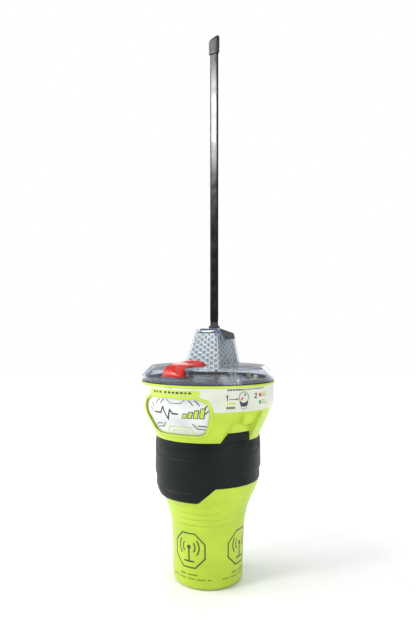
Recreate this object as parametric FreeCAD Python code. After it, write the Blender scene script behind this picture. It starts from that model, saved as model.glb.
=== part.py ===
"""Emergency position beacon, each separate piece as its own solid.

Millimetres. +Z is up, the origin is the centre of the flat base, and the front faces -Y.
A bearing is an angle about +Z that starts at the front and grows towards +X.
"""
import FreeCAD, Part
import math
import os

Vector = FreeCAD.Vector
UP = Vector(0, 0, 1)

# Hull: a moulded cup with a waist low down and a straight neck under the grip
HULL_CURVE = [(28.4, 5), (28.8, 20), (30.0, 46), (32.4, 58.4), (37.4, 71), (40.8, 79), (41.5, 87)]
BASE_RADIUS = 25.0
NECK_RADIUS = 41.5
HULL_TOP = 100.0
HULL_WALL = 2.4
HULL_FLOOR = 3.0

# Rubber grip: follows the hull; its lower edge, (x, z) points, is deeper on the -X flank
BAND_THICKNESS = 1.8
BAND_SHOULDER = 112.0
BAND_TUCK = 116.0
BAND_TUCK_RADIUS = 42.6
BAND_TOP = 124.7
GRIP_EDGE = [(-70.0, 67.5), (-33.0, 67.5), (-13.6, 70.0), (13.6, 70.5), (26.6, 83.0), (70.0, 83.0)]

# Collar: flared ring with tabs that reach down over the grip
TAB_BOTTOM = 117.5
RING_BOTTOM = 141.0
FLARE_LOW = (42.4, TAB_BOTTOM)
FLARE_KNEE = (52.1, 137.0)
FLARE_BEND = (53.4, 140.6)
FLARE_HIGH = (53.9, 144.5)
LIP_RADIUS = 54.5
LIP_BOTTOM = 159.8
COLLAR_TOP = 161.6
CORE_RADIUS = 42.5
COLLAR_WALL = 2.6
SPIGOT_BOTTOM = 90.0
SPIGOT_RADIUS = NECK_RADIUS - HULL_WALL - 0.05
SPIGOT_INNER = 36.6
LEDGE_TOP = 104.0
CHAMBER_RADIUS = 50.0
CHAMBER_BOTTOM = 143.5
TAB_HALF = [(29.2, TAB_BOTTOM), (33.3, 124.7), (45.1, RING_BOTTOM)]
SIDE_TAB_HALF = 7.5
BLOCK_HALF = [(18.5, 131.0), (22.8, RING_BOTTOM)]
BLOCK_SETBACK = 3.0

# Badge windows, front and rear
WINDOW_HALF = [(18, 123.5), (22.5, 125.5), (28, 137), (29, 144), (27, 149), (20, 152)]
WINDOW_DEPTH = 2.3
BADGE_THICKNESS = 1.2
BEZEL_WIDTH = 2.0
BEZEL_HEIGHT = 0.6
LABEL_THICKNESS = 0.25
LABEL_BOTTOM = 142.2

# Lanyard eye in the rear left notch, and the water contacts in the front left one
EYE_BEARING, EYE_BOTTOM, EYE_THICKNESS = -114.0, 126.0, 3.0
EYE_CIRCLE, EYE_HOLE = 47.5, 2.0
CONTACT_BEARINGS, CONTACT_Z, CONTACT_RADIUS = [-62, -72], 128.0, 1.6

# Deck and clear cap
SEAL_THICKNESS = 0.5
DECK_THICKNESS = 2.0
DECK_RADIUS = 51.0
DECK_RIM_TOP = 164.6
CAP_BOTTOM = COLLAR_TOP + SEAL_THICKNESS
CAP_RADIUS = 54.3
CAP_SHOULDER = 166.4
CAP_TOP_RADIUS = 46.7
CAP_TOP = 173.6
CAP_WALL = 2.4
SCREW_CIRCLE = 49.0
SCREW_BEARINGS = [57, 123, -57, -123]
POCKET_RADIUS = 2.6
POCKET_FLOOR = 164.0
SCREW_RADIUS = 1.2

# Tower on the cap: (half width, front y, rear y, height)
TOWER_FOOT = (17.3, -10.8, 26.7, CAP_TOP)
TOWER_HEAD = (10.6, -4.0, 26.4, 204.0)
TOWER_CORNER = 3.6
TOWER_WALL = 1.5
TOWER_HEAD_ROUND = 3.0
REFLECTOR_WALL = 1.0
SADDLE_FRONT, GASKET_FRONT = 4.0, 1.6
SADDLE_SHOULDER = 195.0
PLUG_BOTTOM = 189.0
PLUG_INSET = 3.6
SADDLE_REAR_TOP = 200.0
SADDLE_FACETS = [(14.8, PLUG_BOTTOM), (12.6, 195.4), (9.2, 201.2), (8.2, 204.5)]

# Bay in the cap where the thumb slide runs, and the two buttons that it covers
BAY_START, BAY_END = -12.5, 48.5
BAY_INNER = 22.5
BAY_STEP = 48.3
BAY_FLOOR = 169.5
BAY_LEDGE = CAP_SHOULDER
BAY_SKIN = 2.2
RAIL_INNER, RAIL_OUTER = 46.0, 48.0
RAIL_TOP = 171.3
ON_PLACE, ON_RADIUS = 39.0, 4.6
TEST_PLACE, TEST_RADIUS = 28.6, 3.2
BUTTON_TOP = 170.9
BUTTON_FLANGE = 0.8
BUTTON_GAP = 0.3
FLANGE_TOP = BAY_FLOOR - BAY_SKIN - BUTTON_GAP
FLANGE_THICKNESS = 1.2
BEZEL_PLATE = 0.6
SLIDE_HALF = 9.0
SLIDE_INNER, SLIDE_OUTER = 19.6, 53.4
SLIDE_UNDERSIDE = CAP_TOP + 0.3
SLIDE_SKIRT_BOTTOM = 167.4
CARRIER_BOTTOM = BAY_LEDGE + 0.3
SLIDE_CREST = 178.8
SLIDE_PROFILE = [(-53.4, SLIDE_SKIRT_BOTTOM), (-53.4, 169.2), (-51.5, 172.8), (-47, 175.6), (-40, 177.0),
                 (-28, 175.8), (-22, 177.8), (-17, SLIDE_CREST), (-17, SLIDE_SKIRT_BOTTOM)]

# Antenna: a flat whip on a hinge inside the saddle
HINGE_Y, HINGE_Z = 10.0, 197.0
KNUCKLE_RADIUS = 3.0
KNUCKLE_HALF = 4.4
SLOT_HALF = 4.75
PIN_RADIUS = 1.0
PIN_CLEARANCE = 0.05
NECK_TOP = 209.0
LEAD_Y, LEAD_RADIUS = 13.0, 1.1
BLADE_HALF = 4.0
BLADE_THICKNESS = 1.2
BLADE_BOTTOM = 201.0
BLADE_TOP = 438.0
TIP_HALF = 4.9
TIP_BOTTOM, TIP_TOP = 435.0, 450.0

# Boards, frame and battery
BOARD_RADIUS = 37.5
BOARD_THICKNESS = 1.6
LOGIC_BOARD_Z = 118.0
RADIO_BOARD_Z = 135.0
PILLAR_CIRCLE, PILLAR_RADIUS = 34.0, 2.4
CELL_RADIUS, CELL_LENGTH, CELL_OFFSET = 8.5, 45.0, 9.0
STRAP_THICKNESS = 0.3
TRAY_BOTTOM, TRAY_FLOOR = HULL_FLOOR, 5.0

REACH = 70.0  # longer than the object is wide, for cutting tools that run right through it


def at_bearing(radius, bearing, z=0.0):
    """Return the point at a radius, bearing and height."""
    angle = math.radians(bearing)
    return Vector(radius * math.sin(angle), -radius * math.cos(angle), z)


def cylinder(radius, bottom, top, x=0.0, y=0.0):
    """Return an upright cylinder."""
    return Part.makeCylinder(radius, top - bottom, Vector(x, y, bottom))


def tube(inner, outer, bottom, top):
    """Return an upright ring of rectangular section about the axis."""
    return cylinder(outer, bottom, top).cut(cylinder(inner, bottom - 1, top + 1))


def block(x0, x1, y0, y1, z0, z1):
    """Return a box from its two corners."""
    return Part.makeBox(x1 - x0, y1 - y0, z1 - z0, Vector(x0, y0, z0))


def sector(inner, outer, start, end, bottom, top):
    """Return the part of a ring between two bearings."""
    wedge = Part.makeCylinder(outer, top - bottom, Vector(0, 0, bottom), UP, end - start)
    wedge.rotate(Vector(0, 0, 0), UP, start - 90)
    return wedge.cut(cylinder(inner, bottom - 1, top + 1))


def turned(edges):
    """Spin a closed outline of edges in the XZ plane about the axis."""
    face = Part.Face(Part.Wire(Part.__sortEdges__(edges)))
    return face.revolve(Vector(0, 0, 0), UP, 360)


def chain(points):
    """Return the straight edges that join (radius, z) points in order."""
    corners = [Vector(radius, 0, z) for radius, z in points]
    return [Part.makeLine(a, b) for a, b in zip(corners, corners[1:])]


def hull_curve(offset):
    """Return the hull's smooth outer curve, moved outwards by an offset."""
    curve = Part.BSplineCurve()
    points = [Vector(radius + offset, 0, z) for radius, z in HULL_CURVE]
    curve.interpolate(Points=points, InitialTangent=Vector(0.02, 0, 1), FinalTangent=UP)
    return curve.toShape()


def mirrored_outline(half, axis, grow=0.0, round_corners=0.0):
    """Return a face from half an outline and its mirror image.

    half holds (distance from the centre line, z) points from the bottom up. The face lies in
    the XZ plane for axis "Y" and in the YZ plane for axis "X".
    """
    both = half + [(-side, z) for side, z in reversed(half)]
    if axis == "Y":
        points = [Vector(side, 0, z) for side, z in both]
    else:
        points = [Vector(0, side, z) for side, z in both]
    wire = Part.makePolygon(points + points[:1])
    if grow:
        wire = wire.makeOffset2D(grow)
    if round_corners:
        wire = wire.makeOffset2D(-round_corners).makeOffset2D(round_corners)
    return Part.Face(wire)


def through(face, axis):
    """Extrude a face right through the object, both ways along X or Y."""
    direction = Vector(0, 2 * REACH, 0) if axis == "Y" else Vector(2 * REACH, 0, 0)
    start = face.copy()
    start.translate(direction * -0.5)
    return start.extrude(direction)


def side_profile(points, half_width):
    """Extrude a (y, z) outline along X, to half_width each way."""
    corners = [Vector(-half_width, y, z) for y, z in points]
    face = Part.Face(Part.makePolygon(corners + corners[:1]))
    return face.extrude(Vector(2 * half_width, 0, 0))


def flare(offset=0.0):
    """Return the solid inside the collar's outer surface, moved outwards by an offset."""
    def moved(point):
        return (point[0] + offset, point[1])
    bend = [Vector(radius + offset, 0, z) for radius, z in (FLARE_KNEE, FLARE_BEND, FLARE_HIGH)]
    edges = chain([(0, TAB_BOTTOM), moved(FLARE_LOW), moved(FLARE_KNEE)])
    edges.append(Part.Arc(*bend).toShape())
    edges += chain([moved(FLARE_HIGH), (FLARE_HIGH[0] + offset, COLLAR_TOP), (0, COLLAR_TOP), (0, TAB_BOTTOM)])
    return turned(edges)


def tower_section(z, inset):
    """Return the tower's rounded rectangle at a height, inset all round."""
    share = (z - TOWER_FOOT[3]) / (TOWER_HEAD[3] - TOWER_FOOT[3])
    half, front, rear = (low + share * (high - low) for low, high in zip(TOWER_FOOT[:3], TOWER_HEAD[:3]))
    corner = max(TOWER_CORNER - inset, 1.0)
    x, y0, y1 = half - inset, front + inset, rear - inset
    points = [Vector(-x, y0, z), Vector(x, y0, z), Vector(x, y1, z), Vector(-x, y1, z)]
    wire = Part.makePolygon(points + points[:1])
    return wire.makeOffset2D(-corner).makeOffset2D(corner)


def tower_solid(bottom=CAP_TOP, top=TOWER_HEAD[3], inset=0.0):
    """Return the tapered tower between two heights, inset all round."""
    return Part.makeLoft([tower_section(bottom, inset), tower_section(top, inset)], True)


def tower_outside():
    """Return the tower's outer shape with its head rounded over."""
    head = TOWER_HEAD[3]
    tower = tower_solid(CAP_TOP - 1)
    edges = [edge for edge in tower.Edges if edge.BoundBox.ZMin > head - 0.01]
    return tower.makeFillet(TOWER_HEAD_ROUND, edges)


def bolt(head_radius, head_height, length, seat):
    """Return a screw whose head sits on a seat point, pointing down."""
    head = Part.makeCylinder(head_radius, head_height, seat)
    socket = Part.makeCylinder(head_radius * 0.45, head_height * 0.6, seat + UP * head_height * 0.5)
    shank = Part.makeCylinder(SCREW_RADIUS, length, seat - UP * length)
    return head.cut(socket).fuse(shank).removeSplitter()


def save(name, shape):
    """Write one node's solid or solids."""
    if len(shape.Solids) == 1:
        shape = shape.Solids[0]
    shape.exportStep(f"parts/{name}.step")
    print(f"{name}: {len(shape.Solids)} solid(s), {shape.Volume / 1000:.2f} cm3, valid {shape.isValid()}")


def group(shapes):
    """Return several separate solids as one node."""
    return Part.makeCompound([solid for shape in shapes for solid in shape.Solids])


def make_hull():
    """Moulded cup; the collar's spigot plugs into its neck."""
    def wall(offset, floor, corner, top):
        low = HULL_CURVE[0]
        foot = Vector(BASE_RADIUS + offset, 0, floor)
        heel = Vector(low[0] + offset, 0, low[1])
        middle = Vector(foot.x + 0.72 * (heel.x - foot.x), 0, floor + corner * (heel.z - floor))
        neck = (NECK_RADIUS + offset, top)
        edges = chain([(neck[0], HULL_CURVE[-1][1]), neck, (0, top), (0, floor), (foot.x, floor)])
        return turned([Part.Arc(foot, middle, heel).toShape(), hull_curve(offset)] + edges)
    return wall(0, 0, 0.28, HULL_TOP).cut(wall(-HULL_WALL, HULL_FLOOR, 0.4, HULL_TOP + 1))


def make_grip_band(tab_prisms):
    """Rubber sleeve over the hull, deeper on one flank, trimmed to the tabs above."""
    outer = NECK_RADIUS + BAND_THICKNESS
    start = HULL_CURVE[0][1]
    edges = [hull_curve(0), hull_curve(BAND_THICKNESS)]
    edges += chain([(HULL_CURVE[0][0], start), (HULL_CURVE[0][0] + BAND_THICKNESS, start)])
    edges += chain([(outer, HULL_CURVE[-1][1]), (outer, BAND_SHOULDER), (BAND_TUCK_RADIUS, BAND_TUCK),
                    (BAND_TUCK_RADIUS, BAND_TOP), (NECK_RADIUS, BAND_TOP), (NECK_RADIUS, HULL_CURVE[-1][1])])
    sleeve = turned(edges)
    outline = GRIP_EDGE + [(REACH, BAND_TOP + 1), (-REACH, BAND_TOP + 1), GRIP_EDGE[0]]
    band = sleeve.common(through(Part.Face(Part.Wire(chain(outline))), "Y"))
    return band.cut(tab_prisms)


def tab_shapes():
    """Return the prisms that outline the front, rear and side tabs."""
    wide = through(mirrored_outline(TAB_HALF, "Y"), "Y")
    side = block(-REACH, REACH, -SIDE_TAB_HALF, SIDE_TAB_HALF, TAB_BOTTOM, RING_BOTTOM)
    return wide.cut(cylinder(20, TAB_BOTTOM - 1, RING_BOTTOM + 1)).fuse(side)


def window_tools():
    """Return the badge window prism and the wider bezel prism, front and rear at once."""
    window = through(mirrored_outline(WINDOW_HALF, "Y", 0, 3.5), "Y")
    bezel = through(mirrored_outline(WINDOW_HALF, "Y", BEZEL_WIDTH, 4.0), "Y")
    return window, bezel


def make_collar(tabs, window, bezel):
    """Flared ring with its tabs, badge bezels, screw bosses and the spigot for the hull."""
    core = tube(NECK_RADIUS - COLLAR_WALL, NECK_RADIUS, HULL_TOP, BAND_TOP)
    core = core.fuse(tube(NECK_RADIUS - COLLAR_WALL, CORE_RADIUS, BAND_TOP, CHAMBER_BOTTOM))
    core = core.fuse(tube(SPIGOT_INNER, SPIGOT_RADIUS, SPIGOT_BOTTOM, LEDGE_TOP))
    ring = flare().common(cylinder(REACH, RING_BOTTOM, COLLAR_TOP))
    blocks = flare(-BLOCK_SETBACK).common(through(mirrored_outline(BLOCK_HALF, "X"), "X"))
    blocks = blocks.cut(block(-30, 30, -REACH, REACH, 0, COLLAR_TOP))
    body = ring.fuse([flare().common(tabs), blocks, flare(BEZEL_HEIGHT).common(bezel)])
    body = body.fuse(cylinder(LIP_RADIUS, LIP_BOTTOM, COLLAR_TOP))
    body = body.cut(cylinder(NECK_RADIUS - COLLAR_WALL, TAB_BOTTOM - 1, CHAMBER_BOTTOM + 1))
    band_room = tube(NECK_RADIUS - 1, NECK_RADIUS, TAB_BOTTOM - 1, BAND_TOP)
    body = body.cut(band_room)
    body = body.cut(cylinder(CHAMBER_RADIUS, CHAMBER_BOTTOM, COLLAR_TOP + 1))
    body = body.cut(cylinder(DECK_RADIUS + 0.2, COLLAR_TOP - DECK_THICKNESS, COLLAR_TOP + 1))
    bosses = [cylinder(3.2, 147, COLLAR_TOP - DECK_THICKNESS, p.x, p.y)
              for p in (at_bearing(SCREW_CIRCLE, b) for b in SCREW_BEARINGS)]
    body = body.fuse([boss.common(flare()) for boss in bosses]).fuse(core)
    body = body.cut(window.cut(flare(-WINDOW_DEPTH)))
    hollow = flare(-5.5).common(through(mirrored_outline([(26, 121), (31, 141.5)], "Y"), "Y"))
    return body.cut(hollow.cut(cylinder(36, TAB_BOTTOM - 1, COLLAR_TOP))).removeSplitter()


def make_badges(window):
    """Return the front and the rear badge plates that lie on the window floors."""
    shell = flare(-WINDOW_DEPTH + BADGE_THICKNESS).cut(flare(-WINDOW_DEPTH))
    plates = shell.common(through(mirrored_outline(WINDOW_HALF, "Y", -0.15, 3.4), "Y"))
    front = plates.common(block(-REACH, REACH, -REACH, 0, 100, COLLAR_TOP))
    rear = plates.common(block(-REACH, REACH, 0, REACH, 100, COLLAR_TOP))
    return front, rear


def make_label(bezel):
    """Printed film round the collar, cut away round the badge bezels."""
    film = flare(LABEL_THICKNESS).cut(flare()).common(cylinder(REACH, LABEL_BOTTOM, LIP_BOTTOM))
    return film.cut(bezel)


def radial_pins(bearings, z, inner, outer, radius):
    """Return pins that point outwards from the axis."""
    pins = []
    for bearing in bearings:
        start = at_bearing(inner, bearing, z)
        pins.append(Part.makeCylinder(radius, outer - inner, start, at_bearing(1, bearing)))
    return pins


def make_neck_parts():
    """Return the seal ring, its groove, the neck screws and their holes."""
    groove_floor = SPIGOT_RADIUS - 1.5
    inner_wall = NECK_RADIUS - HULL_WALL
    minor = (inner_wall - groove_floor) / 2 - 0.02
    seal = Part.makeTorus((inner_wall + groove_floor) / 2, minor, Vector(0, 0, 93))
    groove = tube(groove_floor, SPIGOT_RADIUS + 1, 91.9, 94.1)
    bearings = [45, 135, -45, -135]
    shanks = radial_pins(bearings, 97, 36.8, NECK_RADIUS, SCREW_RADIUS)
    heads = radial_pins(bearings, 97, NECK_RADIUS - 1.4, NECK_RADIUS, 2.4)
    screws = [shank.fuse(head).removeSplitter() for shank, head in zip(shanks, heads)]
    screws = [screw.common(cylinder(NECK_RADIUS, 90, HULL_TOP)) for screw in screws]
    return seal, groove, group(screws)


def make_cap():
    """Clear cap: skirt, roof, slide bay, screw pockets and the tapered tower in one moulding."""
    outer = turned(chain([(0, CAP_BOTTOM), (CAP_RADIUS, CAP_BOTTOM), (CAP_RADIUS, CAP_SHOULDER),
                          (CAP_TOP_RADIUS, CAP_TOP), (0, CAP_TOP), (0, CAP_BOTTOM)]))
    inner = turned(chain([(0, CAP_BOTTOM - 1), (CAP_RADIUS - CAP_WALL, CAP_BOTTOM - 1),
                          (CAP_RADIUS - CAP_WALL, CAP_SHOULDER - 0.8),
                          (CAP_TOP_RADIUS - 1.2, CAP_TOP - CAP_WALL), (0, CAP_TOP - CAP_WALL), (0, CAP_BOTTOM - 1)]))
    tower = tower_outside()
    room = tower_solid(CAP_TOP - 4, TOWER_HEAD[3] - TOWER_WALL, TOWER_WALL)
    bay_block = sector(BAY_INNER - BAY_SKIN, BAY_STEP + 2, BAY_START - 2, BAY_END + 2,
                       BAY_FLOOR - BAY_SKIN, CAP_TOP)
    ledge_block = sector(BAY_STEP - BAY_SKIN, CAP_RADIUS, BAY_START - 2, BAY_END + 2,
                         BAY_LEDGE - BAY_SKIN, CAP_TOP)
    pockets, bosses, holes = [], [], []
    for bearing in SCREW_BEARINGS:
        p = at_bearing(SCREW_CIRCLE, bearing)
        bosses.append(cylinder(POCKET_RADIUS + 1.2, CAP_BOTTOM, CAP_TOP, p.x, p.y))
        pockets.append(cylinder(POCKET_RADIUS, POCKET_FLOOR, CAP_TOP + 1, p.x, p.y))
        holes.append(cylinder(SCREW_RADIUS, CAP_BOTTOM - 1, POCKET_FLOOR + 1, p.x, p.y))
    extras = [bay_block.common(outer), ledge_block.common(outer)] + [boss.common(outer) for boss in bosses]
    cap = outer.cut(inner).fuse(extras).fuse(tower).cut(room)
    cap = cap.cut(block(-20, 20, GASKET_FRONT, 40, SADDLE_SHOULDER, 210))
    cap = cap.cut(sector(BAY_INNER, BAY_STEP + 0.5, BAY_START, BAY_END, BAY_FLOOR, CAP_TOP + 1))
    cap = cap.cut(sector(BAY_STEP, REACH, BAY_START, BAY_END, BAY_LEDGE, CAP_TOP + 1))
    for place, radius in ((ON_PLACE, ON_RADIUS), (TEST_PLACE, TEST_RADIUS)):
        cap = cap.cut(cylinder(radius + BUTTON_GAP, BAY_FLOOR - BAY_SKIN - 1, CAP_TOP, 0, -place))
    return cap.cut(pockets).cut(holes).removeSplitter()


def make_saddle():
    """Return the block behind the tower's head, with the whip's slot and pin hole, and its gasket."""
    facets = through(mirrored_outline(SADDLE_FACETS, "Y"), "Y")
    head = tower_outside().common(facets)
    top = side_profile([(SADDLE_FRONT, SADDLE_SHOULDER), (30, SADDLE_SHOULDER), (30, SADDLE_REAR_TOP - 0.6),
                        (5.5, TOWER_HEAD[3]), (SADDLE_FRONT, TOWER_HEAD[3])], 20)
    plug = tower_solid(PLUG_BOTTOM, SADDLE_SHOULDER, PLUG_INSET).common(block(-20, 20, SADDLE_FRONT, 40, 180, 210))
    body = head.common(top).fuse(plug)
    pocket, ramp = HINGE_Z - KNUCKLE_RADIUS - 0.7, SADDLE_SHOULDER
    slot = side_profile([(6.2, pocket), (13.8, pocket), (14.5, ramp), (40, ramp), (40, 210), (6.2, 210)], SLOT_HALF)
    pin_hole = Part.makeCylinder(PIN_RADIUS, 40, Vector(-20, HINGE_Y, HINGE_Z), Vector(1, 0, 0))
    gasket = head.common(block(-20, 20, GASKET_FRONT, SADDLE_FRONT, SADDLE_SHOULDER, TOWER_HEAD[3]))
    return body.cut([slot, pin_hole, lead_hole()]).removeSplitter(), gasket


def lead_hole():
    """Return the drill for the antenna's lead through the saddle's plug."""
    return cylinder(LEAD_RADIUS + 0.1, PLUG_BOTTOM - 1, HINGE_Z, 0, LEAD_Y)


def make_whip():
    """Return the knuckle, pin, blade and tip of the folding whip."""
    axis = Vector(1, 0, 0)
    barrel = Part.makeCylinder(KNUCKLE_RADIUS, 2 * KNUCKLE_HALF, Vector(-KNUCKLE_HALF, HINGE_Y, HINGE_Z), axis)
    neck = block(-KNUCKLE_HALF, KNUCKLE_HALF, HINGE_Y - 1.6, HINGE_Y + 1.6, HINGE_Z, NECK_TOP - 3)
    taper = block(-3.2, 3.2, HINGE_Y - 1.2, HINGE_Y + 1.2, NECK_TOP - 3, NECK_TOP)
    bore = Part.makeCylinder(PIN_RADIUS + PIN_CLEARANCE, 40, Vector(-20, HINGE_Y, HINGE_Z), axis)
    blade = block(-BLADE_HALF, BLADE_HALF, HINGE_Y - BLADE_THICKNESS / 2, HINGE_Y + BLADE_THICKNESS / 2,
                  BLADE_BOTTOM, BLADE_TOP)
    narrow = blade.common(block(-2.6, 2.6, 0, 20, BLADE_BOTTOM, NECK_TOP))
    blade = narrow.fuse(blade.common(block(-REACH, REACH, 0, 20, NECK_TOP, BLADE_TOP))).removeSplitter()
    knuckle = barrel.fuse([neck, taper]).cut(bore).cut(blade).removeSplitter()
    half = TIP_HALF
    outline = [(-half, TIP_BOTTOM), (half, TIP_BOTTOM), (half, TIP_TOP), (-half, TIP_TOP - 3.5)]
    corners = [Vector(x, HINGE_Y - 1.5, z) for x, z in outline]
    tip = Part.Face(Part.makePolygon(corners + corners[:1])).extrude(Vector(0, 3, 0)).cut(blade)
    pin = Part.makeCylinder(PIN_RADIUS, 17, Vector(-8.5, HINGE_Y, HINGE_Z), axis)
    return knuckle, pin, blade, tip


def make_slide():
    """Return the red thumb cap, its clear carrier and the curved rail."""
    skirt = sector(BAY_STEP + 0.6, SLIDE_OUTER, -20, 20, SLIDE_SKIRT_BOTTOM, SLIDE_UNDERSIDE)
    roof = sector(SLIDE_INNER, SLIDE_OUTER, -60, 60, SLIDE_UNDERSIDE, SLIDE_CREST)
    thumb = side_profile(SLIDE_PROFILE, SLIDE_HALF).common(roof.fuse(skirt))
    start, end = -10.5, 14
    plate = sector(BAY_INNER + 1.5, BAY_STEP + 0.6, start, end, RAIL_TOP + 0.3, SLIDE_UNDERSIDE)
    plate = plate.common(block(-SLIDE_HALF, 2 * SLIDE_HALF, -REACH, 0, 150, 190))
    flank = sector(BAY_INNER + 1.5, RAIL_INNER - 0.4, 11, end, BAY_FLOOR + 0.4, SLIDE_UNDERSIDE)
    lip = sector(BAY_STEP + 0.4, SLIDE_OUTER, start, end, CARRIER_BOTTOM, SLIDE_SKIRT_BOTTOM)
    web = sector(BAY_STEP + 0.4, SLIDE_OUTER - 1, 11, end, CARRIER_BOTTOM, SLIDE_UNDERSIDE - 1)
    carrier = plate.cut(skirt).fuse([flank, lip, web.cut(skirt)]).removeSplitter()
    rail = sector(RAIL_INNER, RAIL_OUTER, BAY_START + 0.2, BAY_END - 0.2, BAY_FLOOR, RAIL_TOP)
    return thumb, carrier, rail


def make_button(place, radius):
    """Return a push button and its coil spring."""
    cap = cylinder(radius, FLANGE_TOP, BUTTON_TOP, 0, -place)
    edges = [edge for edge in cap.Edges if abs(edge.CenterOfMass.z - BUTTON_TOP) < 0.01]
    cap = cap.makeFillet(0.5, edges)
    flange = cylinder(radius + BUTTON_FLANGE, FLANGE_TOP - FLANGE_THICKNESS, FLANGE_TOP, 0, -place)
    return cap.fuse(flange).removeSplitter(), make_wave_spring(place, radius)


def make_wave_spring(place, radius):
    """Stacked wave spring: flat turns that touch each other at crests a quarter turn apart."""
    strip, gap, turns = 0.3, 0.3, 4
    bottom = COLLAR_TOP + gap
    height = FLANGE_TOP - FLANGE_THICKNESS - gap - bottom
    rise = (height - strip) / (turns - 1)
    shapes = []
    for turn in range(turns):
        low = bottom + turn * rise
        ring = cylinder(radius - 0.4, low, low + strip, 0, -place)
        shapes.append(ring.cut(cylinder(radius - 1.5, low - 1, low + 1, 0, -place)))
        if turn == turns - 1:
            break
        for side in (-1, 1):
            middle = side * (radius - 0.95)
            x, y = (middle, -place) if turn % 2 else (0, middle - place)
            shapes.append(cylinder(0.5, low, low + rise + strip, x, y))
    return shapes[0].fuse(shapes[1:]).removeSplitter()


def make_detent():
    """Flat spring on the pocket's floor, just under the knuckle."""
    floor = HINGE_Z - KNUCKLE_RADIUS - 0.7
    return block(-3.5, 3.5, 6.8, 11.5, floor, floor + 0.3)


def make_bezel_plate():
    """Plate on the bay floor round both buttons."""
    plate = sector(BAY_INNER + 0.4, RAIL_INNER - 0.3, -9.5, 9.5, BAY_FLOOR, BAY_FLOOR + BEZEL_PLATE)
    for place, radius in ((ON_PLACE, ON_RADIUS), (TEST_PLACE, TEST_RADIUS)):
        plate = plate.cut(cylinder(radius + BUTTON_GAP, BAY_FLOOR - 1, CAP_TOP, 0, -place))
    return plate


def make_deck():
    """Dark deck under the clear cap, with an upstanding rim cut away round the screw pockets."""
    deck_bottom = COLLAR_TOP - DECK_THICKNESS
    deck = cylinder(DECK_RADIUS, deck_bottom, COLLAR_TOP)
    rim = tube(CAP_RADIUS - CAP_WALL - 2.6, CAP_RADIUS - CAP_WALL - 0.4, COLLAR_TOP, DECK_RIM_TOP)
    rim = rim.cut(sector(30, REACH, BAY_START - 3, BAY_END + 3, BAY_LEDGE - BAY_SKIN - 0.1, CAP_TOP))
    rim = rim.common(cylinder(DECK_RADIUS, 150, CAP_TOP))
    columns = [cylinder(POCKET_RADIUS + 1.4, COLLAR_TOP - 0.01, CAP_TOP, p.x, p.y)
               for p in (at_bearing(SCREW_CIRCLE, b) for b in SCREW_BEARINGS)]
    holes = [cylinder(SCREW_RADIUS, deck_bottom - 1, CAP_TOP, p.x, p.y)
             for p in (at_bearing(SCREW_CIRCLE, b) for b in SCREW_BEARINGS)]
    wire_hole = cylinder(4.0, deck_bottom - 1, CAP_TOP, 0, LEAD_Y)
    return deck.fuse(rim.cut(columns)).cut(holes + [wire_hole]).removeSplitter()


def make_seal():
    """Flat gasket between the collar's lip and the cap's skirt."""
    return tube(DECK_RADIUS + 0.6, CAP_RADIUS + 0.1, COLLAR_TOP, CAP_BOTTOM)


def make_cap_screws():
    """Return the four screws that stand in the cap's pockets, and their holes in the bosses."""
    screws, holes = [], []
    for bearing in SCREW_BEARINGS:
        seat = at_bearing(SCREW_CIRCLE, bearing, POCKET_FLOOR)
        screws.append(bolt(2.2, 2.0, 13.0, seat))
        holes.append(cylinder(SCREW_RADIUS, POCKET_FLOOR - 13.0, POCKET_FLOOR, seat.x, seat.y))
    return group(screws), holes


def make_reflector():
    """Open shell of honeycomb that lines the tower, lower behind where the saddle sits."""
    bottom, top = CAP_TOP - CAP_WALL, TOWER_HEAD[3] - 4.0
    inset = TOWER_WALL + 0.3
    shell = tower_solid(bottom, top, inset).cut(tower_solid(bottom - 1, top + 1, inset + REFLECTOR_WALL))
    return shell.cut(block(-20, 20, GASKET_FRONT - 0.3, 40, SADDLE_SHOULDER - 0.3, 210)).removeSplitter()


def make_lights():
    """Return the small board that closes the reflector's front and the lights on it."""
    top = TOWER_HEAD[3] - 4.0
    board = tower_solid(top, top + 0.8, TOWER_WALL + 0.3).common(block(-20, 20, -20, GASKET_FRONT - 0.3, 150, 210))
    lights = [block(x - 1.5, x + 1.5, -1.8, 0.8, top + 0.8, top + 1.9) for x in (-4, 0, 4)]
    return board, group(lights)


def make_positioning():
    """Return the tin tray, the ceramic patch on it and its centre pin."""
    x, y = -32, 2
    tray = block(x - 11, x + 11, y - 11, y + 11, COLLAR_TOP, COLLAR_TOP + 1.6)
    patch = block(x - 9, x + 9, y - 9, y + 9, COLLAR_TOP + 1.6, COLLAR_TOP + 5.6)
    pin = cylinder(1.0, COLLAR_TOP + 5.6, COLLAR_TOP + 6.2, x, y - 2)
    return tray, patch, pin


def make_side_lights():
    """Return the three small infra-red lights that stand round the deck."""
    domes = []
    for bearing in (105, 150, -150):
        p = at_bearing(40, bearing)
        body = cylinder(1.8, COLLAR_TOP, COLLAR_TOP + 3.4, p.x, p.y)
        dome = Part.makeSphere(1.8, Vector(p.x, p.y, COLLAR_TOP + 3.4))
        flange = cylinder(2.3, COLLAR_TOP, COLLAR_TOP + 0.8, p.x, p.y)
        domes.append(body.fuse([dome, flange]).removeSplitter())
    return group(domes)


def pillar_places():
    """Return the centres of the frame's four pillars."""
    return [at_bearing(PILLAR_CIRCLE, bearing) for bearing in (45, 135, -135, -45)]


def make_board(bottom):
    """Round circuit board with clearance for the pillars and the antenna lead."""
    board = cylinder(BOARD_RADIUS, bottom, bottom + BOARD_THICKNESS)
    holes = [cylinder(PILLAR_RADIUS + 0.1, bottom - 1, bottom + 3, p.x, p.y) for p in pillar_places()]
    return board.cut(holes + [cylinder(2.0, bottom - 1, bottom + 3, 0, LEAD_Y)])


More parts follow.
